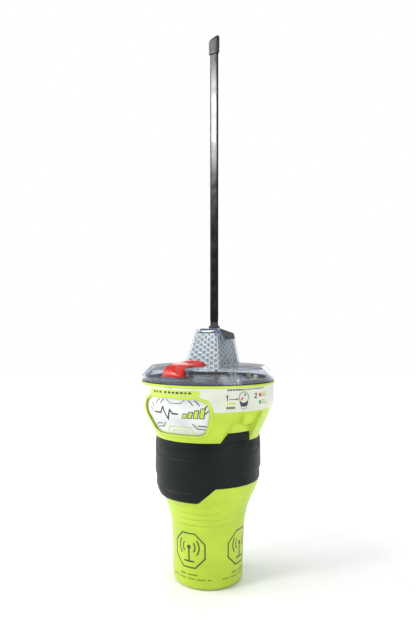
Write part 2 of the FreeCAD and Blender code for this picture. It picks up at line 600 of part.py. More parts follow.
def make_chassis():
    """Ring on the collar's ledge with four pillars that hold the boards up to the deck."""
    ring = tube(29.5, NECK_RADIUS - COLLAR_WALL - 0.1, LEDGE_TOP, LEDGE_TOP + 2.5)
    bars = [block(-x, x, -y, y, LEDGE_TOP, LEDGE_TOP + 2.5) for x, y in ((30, 4), (4, 30))]
    ring = ring.fuse(bars)
    top = COLLAR_TOP - DECK_THICKNESS
    pillars = [cylinder(PILLAR_RADIUS, LEDGE_TOP, top, p.x, p.y) for p in pillar_places()]
    collars = [cylinder(PILLAR_RADIUS + 1.2, LEDGE_TOP, LOGIC_BOARD_Z, p.x, p.y) for p in pillar_places()]
    spacers = [cylinder(PILLAR_RADIUS + 1.2, LOGIC_BOARD_Z + BOARD_THICKNESS, RADIO_BOARD_Z, p.x, p.y)
               for p in pillar_places()]
    return ring.fuse(pillars + collars + spacers).removeSplitter()


def make_components():
    """Return the screening cans on the radio board and the parts on the logic board."""
    z = RADIO_BOARD_Z + BOARD_THICKNESS
    cans = [block(-26, -4, -12, 8, z, z + 4), block(2, 19, -26, -10, z, z + 4), block(6, 24, -5, 10, z, z + 3.2)]
    z = LOGIC_BOARD_Z + BOARD_THICKNESS
    chips = [block(-8, 8, -20, -4, z, z + 1.6), block(-24, -14, -6, 4, z, z + 2.2),
             block(14, 22, 0, 12, z, z + 5), block(-20, -15, 14, 19, z, z + 3)]
    chips += [cylinder(3.2, z, z + 8, x, 24) for x in (-8, 1, 10)]
    return group(cans), group(chips)


def make_battery():
    """Return the tray, the two layers of four cells and the welded straps."""
    cell_base = TRAY_FLOOR + STRAP_THICKNESS
    layers = [cell_base, cell_base + CELL_LENGTH + STRAP_THICKNESS]
    places = [(x * CELL_OFFSET, y * CELL_OFFSET) for x in (-1, 1) for y in (-1, 1)]
    top = layers[1] + CELL_LENGTH + STRAP_THICKNESS
    tray = cylinder(21.5, TRAY_BOTTOM, TRAY_FLOOR)
    tray = tray.fuse([cylinder(3.6, TRAY_FLOOR, LEDGE_TOP), cylinder(30, top, top + 2.5)]).removeSplitter()
    cells, straps = [], []
    for base in layers:
        for x, y in places:
            body = cylinder(CELL_RADIUS, base, base + CELL_LENGTH - 1, x, y)
            cells.append(body.fuse(cylinder(3.0, base, base + CELL_LENGTH, x, y)).removeSplitter())
    for bottom in (TRAY_FLOOR, layers[0] + CELL_LENGTH, layers[1] + CELL_LENGTH):
        for side in (-1, 1):
            x = side * CELL_OFFSET
            straps.append(block(x - 3, x + 3, -15, 15, bottom, bottom + STRAP_THICKNESS))
    return tray, group(cells), group(straps)


def make_lanyard_eye():
    """Steel eye that stands out of the neck in a rear notch, with an upright hole."""
    bearing, low, high = EYE_BEARING, EYE_BOTTOM, EYE_BOTTOM + EYE_THICKNESS
    foot = sector(CORE_RADIUS, CORE_RADIUS + 1.5, bearing - 4.5, bearing + 4.5, low - 1, high + 1.5)
    centre = at_bearing(EYE_CIRCLE, bearing)
    arm_start = at_bearing(CORE_RADIUS + 1.0, bearing)
    arm = Part.makeBox(8, EYE_CIRCLE - CORE_RADIUS - 1, EYE_THICKNESS, Vector(-4, 0, low))
    arm.rotate(Vector(0, 0, 0), UP, bearing + 180)
    arm.translate(Vector(arm_start.x, arm_start.y, 0))
    arm = arm.cut(cylinder(CORE_RADIUS + 0.5, low - 1, high + 1))
    eye = cylinder(EYE_HOLE + 2, low, high, centre.x, centre.y)
    lug = foot.fuse([arm, eye]).cut(cylinder(CORE_RADIUS, 120, 140))
    return lug.cut(cylinder(EYE_HOLE, low - 5, high + 5, centre.x, centre.y)).removeSplitter()


def build():
    """Make every piece and write its file."""
    tabs = tab_shapes()
    window, bezel = window_tools()
    seal, groove, neck_screws = make_neck_parts()
    cap_screws, screw_holes = make_cap_screws()
    contacts = radial_pins(CONTACT_BEARINGS, CONTACT_Z, NECK_RADIUS - COLLAR_WALL, CORE_RADIUS + 1.2, CONTACT_RADIUS)

    save("hull", make_hull().cut(neck_screws.Solids))
    collar = make_collar(tabs, window, bezel).cut([groove] + neck_screws.Solids + screw_holes + contacts)
    save("collar", collar)
    tab_envelope = flare(REACH).common(tabs)
    save("grip_band", make_grip_band(tab_envelope))
    save("neck_seal", seal)
    save("neck_screws", neck_screws)
    save("water_contacts", group(contacts))
    save("lanyard_eye", make_lanyard_eye())
    front_badge, rear_badge = make_badges(window)
    save("front_badge", front_badge)
    save("rear_badge", rear_badge)
    save("wrap_label", make_label(bezel))

    save("deck_plate", make_deck())
    save("cap_seal", make_seal())
    save("lens_cap", make_cap())
    save("cap_screws", cap_screws)
    save("reflector", make_reflector())
    light_board, strobe_lights = make_lights()
    save("light_board", light_board)
    save("strobe_lights", strobe_lights)
    save("side_lights", make_side_lights())
    tray, patch, patch_pin = make_positioning()
    save("patch_tray", tray)
    save("satellite_patch", patch)
    save("patch_pin", patch_pin)

    thumb, carrier, rail = make_slide()
    save("thumb_cap", thumb)
    save("slide_carrier", carrier)
    save("slide_rail", rail)
    for name, place, radius in (("on", ON_PLACE, ON_RADIUS), ("test", TEST_PLACE, TEST_RADIUS)):
        button, spring = make_button(place, radius)
        save(f"{name}_button", button)
        save(f"{name}_spring", spring)
    save("button_bezel", make_bezel_plate())

    knuckle, pin, blade, tip = make_whip()
    saddle, gasket = make_saddle()
    save("antenna_saddle", saddle)
    save("saddle_gasket", gasket)
    save("antenna_pin", pin)
    save("antenna_knuckle", knuckle)
    save("antenna_blade", blade)
    save("antenna_tip", tip)
    save("detent_spring", make_detent())
    lead_bottom = RADIO_BOARD_Z + BOARD_THICKNESS
    save("antenna_lead", cylinder(LEAD_RADIUS, lead_bottom, HINGE_Z - KNUCKLE_RADIUS - 1, 0, LEAD_Y))

    save("chassis_frame", make_chassis())
    save("radio_board", make_board(RADIO_BOARD_Z))
    save("logic_board", make_board(LOGIC_BOARD_Z))
    cans, chips = make_components()
    save("screening_cans", cans)
    save("board_parts", chips)
    battery_tray, cells, straps = make_battery()
    save("battery_tray", battery_tray)
    save("battery_cells", cells)
    save("battery_straps", straps)


os.makedirs("parts", exist_ok=True)
build()
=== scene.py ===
"""Studio scene of an emergency position beacon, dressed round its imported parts.

Lengths inside the classes are millimetres, as on a drawing, and metres() turns them into scene units.
A bearing is an angle in degrees about +Z, 0 at the front (-Y) and growing towards +X.
"""
import logging
import math
from collections.abc import Iterable, Sequence
from dataclasses import dataclass, field
from enum import Enum

import bmesh
import bpy
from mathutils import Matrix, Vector
from mathutils.bvhtree import BVHTree


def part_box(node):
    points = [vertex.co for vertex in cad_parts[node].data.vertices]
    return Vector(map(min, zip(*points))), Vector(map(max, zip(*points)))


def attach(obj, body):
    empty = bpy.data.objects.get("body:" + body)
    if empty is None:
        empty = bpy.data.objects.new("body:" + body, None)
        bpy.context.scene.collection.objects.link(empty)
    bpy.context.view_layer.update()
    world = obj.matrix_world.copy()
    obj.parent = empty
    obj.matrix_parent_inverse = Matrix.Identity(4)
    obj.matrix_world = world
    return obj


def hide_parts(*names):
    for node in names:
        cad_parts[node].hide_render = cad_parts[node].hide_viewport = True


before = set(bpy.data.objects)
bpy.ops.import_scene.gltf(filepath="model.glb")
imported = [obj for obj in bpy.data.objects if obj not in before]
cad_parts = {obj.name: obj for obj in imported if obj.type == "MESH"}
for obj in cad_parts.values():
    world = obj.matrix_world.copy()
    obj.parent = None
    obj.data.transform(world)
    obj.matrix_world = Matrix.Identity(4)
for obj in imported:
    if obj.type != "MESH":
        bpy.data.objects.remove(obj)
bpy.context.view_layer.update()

log = logging.getLogger("beacon")

MM = 0.001
Point = tuple[float, float, float]
Flat = tuple[float, float]
Skin = tuple[list[Point], list[list[int]]]
Material = bpy.types.Material
Tree = bpy.types.NodeTree
Socket = bpy.types.NodeSocket


class Body(Enum):
    """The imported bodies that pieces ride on."""

    CASE = "case"
    ANTENNA = "antenna"
    COVER = "cover"


class Facing(Enum):
    """How flat artwork is laid on a part: straight on from the front or rear, or wrapped round."""

    FRONT = -1
    REAR = 1
    ROUND = 0


# ---------------------------------------------------------------- small helpers


def metres(length: float) -> float:
    """Turn millimetres into metres."""
    return length * MM


def at_bearing(radius: float, bearing: float, height: float) -> Point:
    """Place a point by radius, bearing and height.

    Args:
        radius: distance from the axis, mm.
        bearing: angle from the front, degrees.
        height: height over the base, mm.

    Returns:
        The point in metres.
    """
    angle = math.radians(bearing)
    return (metres(radius * math.sin(angle)), metres(-radius * math.cos(angle)), metres(height))


def node_box(node: str) -> tuple[Vector, Vector]:
    """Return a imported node's lowest and highest corners in millimetres."""
    low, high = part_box(node)
    return Vector(low) / MM, Vector(high) / MM


def ease(value: float, start: float, end: float) -> float:
    """Rise smoothly from 0 at start to 1 at end."""
    share = min(max((value - start) / (end - start), 0.0), 1.0)
    return share * share * (3 - 2 * share)


def along(points: Sequence[Flat], place: float) -> float:
    """Read a value off a broken line.

    Args:
        points: (place, value) pairs with rising places.
        place: where to read.

    Returns:
        The value at that place, held level past both ends.
    """
    if place <= points[0][0]:
        return points[0][1]
    for (x0, y0), (x1, y1) in zip(points, points[1:]):
        if place <= x1:
            return y0 + (y1 - y0) * (place - x0) / (x1 - x0)
    return points[-1][1]


def smooth_along(points: Sequence[Flat], place: float) -> float:
    """Read a value off a Catmull-Rom curve through (place, value) pairs.

    Args:
        points: (place, value) pairs with rising places.
        place: where to read.

    Returns:
        The value at that place, held level past both ends.
    """
    if place <= points[0][0]:
        return points[0][1]
    if place >= points[-1][0]:
        return points[-1][1]
    step = next(i for i in range(1, len(points)) if place <= points[i][0])
    (x0, y0), (x1, y1) = points[step - 1], points[step]

    def slope(i: int) -> float:
        """Return the curve's slope at one of its points."""
        low, high = points[max(i - 1, 0)], points[min(i + 1, len(points) - 1)]
        return (high[1] - low[1]) / (high[0] - low[0])

    width = x1 - x0
    t = (place - x0) / width
    start, end = slope(step - 1) * width, slope(step) * width
    return ((2 * t**3 - 3 * t**2 + 1) * y0 + (t**3 - 2 * t**2 + t) * start
            + (3 * t**2 - 2 * t**3) * y1 + (t**3 - t**2) * end)


def linear(colour: str) -> tuple[float, float, float, float]:
    """Turn an sRGB hex colour into linear RGBA.

    Args:
        colour: six hex digits, with or without a hash.

    Returns:
        Linear red, green, blue and an alpha of 1.
    """
    digits = colour.lstrip("#")
    channels = [int(digits[i:i + 2], 16) / 255 for i in (0, 2, 4)]
    red, green, blue = (c / 12.92 if c <= 0.04045 else ((c + 0.055) / 1.055) ** 2.4 for c in channels)
    return (red, green, blue, 1.0)


def ring_grid(rows: Sequence[Sequence[Point]], close_ends: bool = True) -> Skin:
    """Join closed rows of points into a skin.

    Args:
        rows: rows with the same number of points, each running right round.
        close_ends: cap the first and the last row.

    Returns:
        The vertices and the faces.
    """
    count = len(rows[0])
    vertices = [point for row in rows for point in row]
    faces = []
    for row in range(len(rows) - 1):
        for column in range(count):
            after = (column + 1) % count
            low, high = row * count, (row + 1) * count
            faces.append([low + column, low + after, high + after, high + column])
    if close_ends:
        faces.append(list(range(count))[::-1])
        faces.append([(len(rows) - 1) * count + column for column in range(count)])
    return vertices, faces


# ---------------------------------------------------------------- finishes


def add_node(tree: Tree, kind: str, settings: dict | None = None,
             inputs: dict | None = None) -> bpy.types.Node:
    """Add a node with its settings and what feeds it.

    Args:
        tree: the material's node tree.
        kind: the node's type name.
        settings: attributes to set.
        inputs: a value or an output socket for each input name.

    Returns:
        The new node.
    """
    node = tree.nodes.new(kind)
    for name, value in (settings or {}).items():
        setattr(node, name, value)
    for name, value in (inputs or {}).items():
        if isinstance(value, Socket):
            tree.links.new(value, node.inputs[name])
        else:
            node.inputs[name].default_value = value
    return node


def blank_material(name: str) -> tuple[Material, Tree, bpy.types.Node]:
    """Start a material.

    Args:
        name: the material's name.

    Returns:
        The new material, its tree and its main shader.
    """
    material = bpy.data.materials.new(name)
    material.use_nodes = True
    tree = material.node_tree
    return material, tree, tree.nodes["Principled BSDF"]


def place_mm(tree: Tree) -> Socket:
    """Read the object's own coordinates.

    Args:
        tree: the material's node tree.

    Returns:
        The socket of the coordinates in millimetres.
    """
    source = add_node(tree, "ShaderNodeTexCoord")
    scaled = add_node(tree, "ShaderNodeVectorMath", {"operation": "SCALE"},
                      {0: source.outputs["Object"], "Scale": 1 / MM})
    return scaled.outputs[0]


def mixed(tree: Tree, share: Socket | float, first: Socket | tuple,
          second: Socket | tuple) -> Socket:
    """Blend two colours.

    Args:
        tree: the material's node tree.
        share: how much of the second shows.
        first: the colour or socket at share 0.
        second: the colour or socket at share 1.

    Returns:
        The blended colour's socket.
    """
    node = tree.nodes.new("ShaderNodeMix")
    node.data_type = "RGBA"
    sockets = {"Factor": node.inputs[0], "A": node.inputs[6], "B": node.inputs[7]}
    for name, value in (("Factor", share), ("A", first), ("B", second)):
        if isinstance(value, Socket):
            tree.links.new(value, sockets[name])
        else:
            sockets[name].default_value = value
    return node.outputs[2]


def paint(tree: Tree, shader: bpy.types.Node, share: Socket, colour: str,
          shade: str) -> None:
    """Give the main shader a body colour that drifts between two sRGB colours.

    Args:
        tree: the material's node tree.
        shader: the main shader.
        share: how much of the shade shows.
        colour: the colour at share 0.
        shade: the colour at share 1.
    """
    tree.links.new(mixed(tree, share, linear(colour), linear(shade)), shader.inputs["Base Color"])


def ramp(tree: Tree, source: Socket, low: float, high: float,
         out_low: float = 0.0, out_high: float = 1.0) -> Socket:
    """Map a value's range onto another, clamped.

    Args:
        tree: the material's node tree.
        source: the value.
        low: the value that gives out_low.
        high: the value that gives out_high.
        out_low: result at low.
        out_high: result at high.

    Returns:
        The mapped value's socket.
    """
    node = add_node(tree, "ShaderNodeMapRange", {"clamp": True},
                    {"Value": source, "From Min": low, "From Max": high,
                     "To Min": out_low, "To Max": out_high})
    return node.outputs["Result"]


def grain(tree: Tree, size_mm: float, detail: float = 3.0) -> Socket:
    """Return an even noise whose patches are about size_mm across."""
    node = add_node(tree, "ShaderNodeTexNoise", {},
                    {"Vector": place_mm(tree), "Scale": 1 / size_mm, "Detail": detail})
    return node.outputs["Fac"]


@dataclass(frozen=True)
class Moulding:
    """Injection moulded thermoplastic or rubber.

    The eye sees a body colour that drifts a little with wall thickness, a spark-eroded grain in the
    gloss, and rounded mould edges that catch the light.
    """

    name: str
    colour: str
    shade: str
    roughness: float
    ior: float = 1.53
    grain_mm: float = 0.35
    grain_depth_mm: float = 0.012
    drift_mm: float = 22.0
    edge_mm: float = 0.0
    coat: float = 0.0

    def make(self) -> Material:
        """Build the material and return it."""
        material, tree, shader = blank_material(self.name)
        drift = ramp(tree, grain(tree, self.drift_mm, 2.0), 0.35, 0.68)
        paint(tree, shader, drift, self.colour, self.shade)
        fine = grain(tree, self.grain_mm)
        gloss = ramp(tree, fine, 0.3, 0.7, self.roughness - 0.05, self.roughness + 0.07)
        tree.links.new(gloss, shader.inputs["Roughness"])
        bump = add_node(tree, "ShaderNodeBump", {}, {"Height": fine, "Strength": 0.35,
                                                     "Distance": metres(self.grain_depth_mm)})
        if self.edge_mm:
            edge = add_node(tree, "ShaderNodeBevel", {"samples": 6}, {"Radius": metres(self.edge_mm)})
            tree.links.new(edge.outputs["Normal"], bump.inputs["Normal"])
        tree.links.new(bump.outputs["Normal"], shader.inputs["Normal"])
        shader.inputs["IOR"].default_value = self.ior
        shader.inputs["Coat Weight"].default_value = self.coat
        shader.inputs["Coat Roughness"].default_value = 0.06
        return material


@dataclass(frozen=True)
class Metal:
    """Bare or plated metal: a mirror-like body whose fine working marks blur the reflection."""

    name: str
    colour: str
    roughness: float
    mark_mm: float = 0.25
    mark_stretch: float = 12.0

    def make(self) -> Material:
        """Build the material and return it."""
        material, tree, shader = blank_material(self.name)
        stretched = add_node(tree, "ShaderNodeMapping", {}, {"Vector": place_mm(tree),
                                                             "Scale": (1.0, 1.0, 1 / self.mark_stretch)})
        marks = add_node(tree, "ShaderNodeTexNoise", {},
                         {"Vector": stretched.outputs[0], "Scale": 1 / self.mark_mm})
        fac = marks.outputs["Fac"]
        bright = linear(self.colour)
        worked = tuple(c * 0.7 for c in bright[:3]) + (1.0,)
        tree.links.new(mixed(tree, ramp(tree, fac, 0.4, 0.8), bright, worked), shader.inputs["Base Color"])
        tree.links.new(ramp(tree, fac, 0.3, 0.7, self.roughness - 0.06, self.roughness + 0.1),
                       shader.inputs["Roughness"])
        shader.inputs["Metallic"].default_value = 1.0
        return material


@dataclass(frozen=True)
class ClearMoulding:
    """Clear polycarbonate, polished in the tool.

    The eye sees what lies behind it almost undimmed, a sharp reflection that grows towards its edges,
    and a faint blue-grey haze with slight flow ripples.
    """

    name: str
    tint: str
    haze: str
    roughness: float = 0.05
    ior: float = 1.585
    ripple_mm: float = 14.0
    cloud: float = 0.2
    alpha: float = 0.35

    def make(self) -> Material:
        """Build the material and return it."""
        material, tree, shader = blank_material(self.name)
        ripple = grain(tree, self.ripple_mm, 1.0)
        haze = linear(self.haze)
        deeper = tuple(c * 0.8 for c in haze[:3]) + (1.0,)
        tree.links.new(mixed(tree, ramp(tree, ripple, 0.35, 0.65), haze, deeper), shader.inputs["Base Color"])
        tree.links.new(ramp(tree, grain(tree, 1.2), 0.3, 0.7, self.roughness, self.roughness + 0.05),
                       shader.inputs["Roughness"])
        bump = add_node(tree, "ShaderNodeBump", {},
                        {"Height": ripple, "Strength": 0.3, "Distance": metres(0.2)})
        edge = add_node(tree, "ShaderNodeBevel", {"samples": 4}, {"Radius": metres(0.6)})
        tree.links.new(edge.outputs["Normal"], bump.inputs["Normal"])
        normal = bump.outputs["Normal"]
        tree.links.new(normal, shader.inputs["Normal"])
        shader.inputs["Alpha"].default_value = self.alpha
        clear = add_node(tree, "ShaderNodeBsdfTransparent", {}, {"Color": linear(self.tint)})
        gloss = add_node(tree, "ShaderNodeBsdfAnisotropic", {},
                         {"Roughness": self.roughness, "Normal": normal})
        facing = add_node(tree, "ShaderNodeLayerWeight", {}, {"Blend": 0.5, "Normal": normal})
        grazing = add_node(tree, "ShaderNodeMath", {"operation": "POWER"},
                           {0: facing.outputs["Facing"], 1: 5.0})
        head_on = ((self.ior - 1) / (self.ior + 1)) ** 2
        fresnel = add_node(tree, "ShaderNodeMath", {"operation": "MULTIPLY_ADD"},
                           {0: grazing.outputs[0], 1: 1 - head_on, 2: head_on})
        polished = add_node(tree, "ShaderNodeMixShader", {}, {0: fresnel.outputs[0], 1: clear.outputs[0],
                                                              2: gloss.outputs[0]})
        body = add_node(tree, "ShaderNodeMixShader", {},
                        {0: self.cloud, 1: polished.outputs[0], 2: shader.outputs[0]})
        tree.links.new(body.outputs[0], tree.nodes["Material Output"].inputs["Surface"])
        return material


@dataclass(frozen=True)
class Film:
    """Printed or metallised film under a thin clear coat, with a soft sheen that varies across it."""

    name: str
    colour: str
    shade: str
    metallic: float
    roughness: float
    flake_mm: float = 0.3

    def make(self) -> Material:
        """Build the material and return it."""
        material, tree, shader = blank_material(self.name)
        cloud = ramp(tree, grain(tree, 18.0, 1.0), 0.3, 0.7)
        paint(tree, shader, cloud, self.colour, self.shade)
        flake = grain(tree, self.flake_mm)
        tree.links.new(ramp(tree, flake, 0.3, 0.7, self.roughness - 0.06, self.roughness + 0.08),
                       shader.inputs["Roughness"])
        shader.inputs["Metallic"].default_value = self.metallic
        shader.inputs["Coat Weight"].default_value = 0.3
        shader.inputs["Coat Roughness"].default_value = 0.1
        return material


class Finish(Enum):
    """Every finish of the beacon, named for its material and how it was made."""

    # Thick satin wall: one even colour whose rounded edges carry a broad soft highlight.
    LIME = Moulding("satin_lime_moulding", "B4CE2A", "A9C424", 0.34, grain_mm=0.4, edge_mm=0.9, coat=0.12)
    # Moulded rubber: it swallows light and shows only a dull glow along its edges.
    GRIP = Moulding("soft_black_grip_rubber", "0A1110", "070C0C", 0.44, ior=1.27, grain_mm=0.5, edge_mm=0.35)
    SEAL = Moulding("dark_seal_rubber", "16191F", "1B1F27", 0.55, grain_mm=0.3)
    TIP = Moulding("moulded_tip_rubber", "14161D", "0E1016", 0.4, grain_mm=0.4, edge_mm=0.3)
    # Turned, drawn and plated metal: bright, with working marks that blur what it mirrors.
    STEEL = Metal("turned_steel", "B9BBBE", 0.32)
    SPRING = Metal("drawn_spring_steel", "A2A5AA", 0.28, 0.12)
    BRASS = Metal("plated_brass_contact", "D8B35A", 0.3)
    # Coated film: flat pale or grey tones under a thin gloss, brighter where the coat is metallised.
    FOIL = Film("metallised_badge_film", "D6D8D4", "BFC3C4", 0.25, 0.35)
    LABEL = Film("printed_label_film", "CDD0C0", "C3C7B6", 0.0, 0.4)
    COMB = Film("metallised_honeycomb_moulding", "E8E9E6", "D2D4D2", 0.2, 0.3)
    # Painted shade: the cell floors of the white honeycomb get this grey, standing in for the shade in its
    # cells.
    CELLS = Film("honeycomb_cell_painted_shade", "A4A9A6", "949A97", 0.3, 0.4)
    CELL_CAN = Film("shrink_sleeved_cell", "5A6270", "4A5260", 0.4, 0.35)
    # Polished clear plastic: the parts behind it stay visible under sharp reflections.
    CLEAR = ClearMoulding("clear_polycarbonate_moulding", "F2F5F8", "8F9AA8")
    # Spark-eroded moulds: a matt grain that keeps dark parts readable.
    NAVY = Moulding("moulded_navy_deck", "1B2436", "232E45", 0.42, grain_mm=0.3)
    BLACK = Moulding("grained_black_moulding", "191B1E", "111315", 0.5, grain_mm=0.25, edge_mm=0.2)
    BUTTON = Moulding("soft_button_moulding", "B02018", "8E1812", 0.5, grain_mm=0.3, edge_mm=0.3)
    SADDLE = Moulding("grained_grey_saddle_moulding", "3A3F45", "2F343A", 0.45, grain_mm=0.3, edge_mm=0.5)
    GASKET = Moulding("moulded_lavender_gasket", "8C90B0", "7C80A2", 0.5, grain_mm=0.3, edge_mm=0.3)
    # Polished moulds and an extruded sleeve: nearly smooth, so the lamps show as clear patches.
    RED = Moulding("polished_red_moulding", "BE1502", "A81001", 0.3, ior=1.45, grain_mm=0.6,
                   grain_depth_mm=0.004)
    WHIP = Moulding("glossy_whip_sleeve", "050609", "080A10", 0.2, ior=1.45, grain_mm=8.0,
                    grain_depth_mm=0.001)
    LIGHT = Moulding("cast_silicone_light_lens", "EFE7B4", "E3D78E", 0.25, grain_mm=0.6, coat=0.3)
    # Boards: solder mask that shines over a dull weave, and dry fired ceramic.
    LAMINATE = Moulding("solder_masked_laminate", "1E5B3A", "174B30", 0.35, grain_mm=0.8)
    CERAMIC = Moulding("fired_patch_ceramic", "B5A68E", "A3947C", 0.5, grain_mm=0.2)
    # Printed ink: a thin even layer, a little duller than the film below.
    INK = Moulding("screen_printed_dark_ink", "22272E", "1B2027", 0.4, grain_mm=0.15)
    MARKS = Moulding("pad_printed_grey_ink", "3D4A1E", "33401A", 0.42, grain_mm=0.15)
    LIME_INK = Moulding("screen_printed_lime_ink", "B9CC3C", "AEC234", 0.4, grain_mm=0.15)
    RED_INK = Moulding("screen_printed_red_ink", "CF3A2A", "BE2F22", 0.4, grain_mm=0.15)
    GREEN_INK = Moulding("screen_printed_green_ink", "2F9A56", "27894B", 0.4, grain_mm=0.15)

    @property
    def material(self) -> Material:
        """Return the finish's material, made when it is first asked for."""
        return bpy.data.materials.get(self.value.name) or self.value.make()


# ---------------------------------------------------------------- pieces


def make_piece(name: str, vertices: Sequence[Point], faces: Sequence[Sequence[int]], finish: Finish,
               body: Body, sharp_angle: float = 35.0) -> bpy.types.Object:
    """Make a mesh piece, shade it and let it ride on a body.

    Args:
        name: the piece's name.
        vertices: points in metres.
        faces: vertex numbers of each face.
        finish: what the whole piece is finished in.
        body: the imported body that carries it.
        sharp_angle: edges that turn more than this many degrees stay crisp.

    Returns:
        The new object.
    """
    mesh = bpy.data.meshes.new(name)
    mesh.from_pydata(vertices, [], faces)
    shape = bmesh.new()
    shape.from_mesh(mesh)
    bmesh.ops.remove_doubles(shape, verts=shape.verts, dist=1e-7)
    bmesh.ops.recalc_face_normals(shape, faces=shape.faces)
    shape.to_mesh(mesh)
    shape.free()
    piece = bpy.data.objects.new(name, mesh)
    bpy.context.scene.collection.objects.link(piece)
    mesh.materials.append(finish.material)
    mesh.shade_smooth()
    mesh.set_sharp_from_angle(angle=math.radians(sharp_angle))
    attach(piece, body.value)
    log.info("made %s on %s", piece.name, body.value)
    return piece


def dress(node: str, finish: Finish) -> None:
    """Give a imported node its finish.

    Args:
        node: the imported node's name.
        finish: what it is finished in.
    """
    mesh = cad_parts[node].data
    mesh.materials.clear()
    mesh.materials.append(finish.material)
    log.info("dressed %s in %s", node, finish.value.name)


# ---------------------------------------------------------------- artwork laid on surfaces


class Surface:
    """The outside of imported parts, found by looking at them from outside, that artwork is laid on."""

    far = 90.0

    def __init__(self, nodes: Iterable[str], facing: Facing, radius: float = 0.0,
                 bearing: float = 0.0) -> None:
        """Gather the parts' meshes.

        Args:
            nodes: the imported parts.
            facing: straight on, or wrapped round.
            radius: mm of arc are measured at this radius when wrapped round.
            bearing: where the artwork's middle lies when wrapped round, degrees.
        """
        vertices: list[Vector] = []
        faces: list[list[int]] = []
        for node in nodes:
            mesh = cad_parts[node].data
            start = len(vertices)
            vertices += [vertex.co.copy() for vertex in mesh.vertices]
            faces += [[start + corner for corner in face.vertices] for face in mesh.polygons]
        self.tree = BVHTree.FromPolygons(vertices, faces)
        self.facing = facing
        self.radius = radius
        self.bearing = bearing

    def place(self, across: float, height: float, lift: float) -> Vector:
        """Put a point of flat artwork on the surface.

        Args:
            across: mm to the right of the artwork's middle, as a reader sees it.
            height: mm above the base.
            lift: mm to stand off the surface.

        Returns:
            The point in metres.
        """
        if self.facing is Facing.ROUND:
            bearing = self.bearing + math.degrees(across / self.radius)
            start = Vector(at_bearing(self.far, bearing, height))
            inward = Vector((-start.x, -start.y, 0)).normalized()
        else:
            side = self.facing.value
            start = Vector((-side * metres(across), side * metres(self.far), metres(height)))
            inward = Vector((0, -side, 0))
        hit = self.tree.ray_cast(start, inward)[0]
        if hit is None:
            hit = start + inward * metres(self.far - self.radius)
        return hit - inward * metres(lift)

    def radius_at(self, bearing: float, height: float) -> float:
        """Return the outside radius in mm at a bearing and height."""
        start = Vector(at_bearing(self.far, bearing, height))
        hit = self.tree.ray_cast(start, Vector((-start.x, -start.y, 0)).normalized())[0]
        return math.hypot(hit.x, hit.y) / MM if hit else self.radius


@dataclass
class Artwork:
    """Flat shapes in mm, (across, height), that are printed in one ink."""

    outlines: list[list[Flat]] = field(default_factory=list)

    def bar(self, left: float, right: float, low: float, high: float) -> None:
        """Add a filled rectangle."""
        self.shape([(left, low), (right, low), (right, high), (left, high)])

    def line(self, points: Sequence[Flat], width: float, closed: bool = False) -> None:
        """Add a line of even width through points.

        Args:
            points: the corners.
            width: the line's width.
            closed: join the last corner to the first.
        """
        corners = list(points) + ([points[0]] if closed else [])
        half, grow = width / 2, 0.6
        for (x0, z0), (x1, z1) in zip(corners, corners[1:]):
            run = math.hypot(x1 - x0, z1 - z0)
            dx, dz = (x1 - x0) / run * half, (z1 - z0) / run * half
            x0, z0, x1, z1 = x0 - dx * grow, z0 - dz * grow, x1 + dx * grow, z1 + dz * grow
            self.shape([(x0 + dz, z0 - dx), (x1 + dz, z1 - dx), (x1 - dz, z1 + dx), (x0 - dz, z0 + dx)])

    def arc(self, centre: Flat, radius: float, start: float, end: float, width: float) -> None:
        """Add part of a circle's line.

        Args:
            centre: the circle's middle.
            radius: its radius.
            start: where the line starts, degrees from the right.
            end: where it ends, degrees from the right.
            width: the line's width.
        """
        steps = max(int(abs(end - start) / 12), 2)
        angles = [math.radians(start + (end - start) * i / steps) for i in range(steps + 1)]
        points = [(centre[0] + radius * math.cos(a), centre[1] + radius * math.sin(a)) for a in angles]
        self.line(points, width)

    def disc(self, centre: Flat, radius: float) -> None:
        """Add a filled circle."""
        angles = [math.tau * i / 20 for i in range(20)]
        self.shape([(centre[0] + radius * math.cos(a), centre[1] + radius * math.sin(a)) for a in angles])

    def shape(self, points: Sequence[Flat]) -> None:
        """Add a filled convex outline."""
        self.outlines.append(list(points))

    def lay(self, name: str, surface: Surface, ink: Finish, lift: float) -> bpy.types.Object:
        """Lay the shapes on a surface as a thin skin of ink.

        Args:
            name: the piece's name.
            surface: what it lies on.
            ink: its finish.
            lift: how far the ink's back stands off, mm.

        Returns:
            The new piece.
        """
        pitch, thickness = 1.6, 0.05
        vertices: list[Point] = []
        faces: list[list[int]] = []
        for outline in self.outlines:
            flat = bmesh.new()
            flat.faces.new([flat.verts.new((x, z, 0)) for x, z in outline])
            for axis in (0, 1):
                low = min(point[axis] for point in outline)
                high = max(point[axis] for point in outline)
                normal = Vector((1, 0, 0)) if axis == 0 else Vector((0, 1, 0))
                cut = math.floor(low / pitch) * pitch + pitch
                while cut < high:
                    geometry = flat.verts[:] + flat.edges[:] + flat.faces[:]
                    bmesh.ops.bisect_plane(flat, geom=geometry, plane_co=normal * cut, plane_no=normal)
                    cut += pitch
            start = len(vertices)
            count = len(flat.verts)
            flat.verts.index_update()
            for level in (lift, lift + thickness):
                vertices += [tuple(surface.place(v.co.x, v.co.y, level)) for v in flat.verts]
            for face in flat.faces:
                corners = [start + v.index for v in face.verts]
                faces.append(corners[::-1])
                faces.append([corner + count for corner in corners])
            for edge in flat.edges:
                if edge.is_boundary:
                    a, b = (start + v.index for v in edge.verts)
                    faces.append([a, b, b + count, a + count])
            flat.free()
        return make_piece(name, vertices, faces, ink, Body.CASE)


# ---------------------------------------------------------------- hull and grip


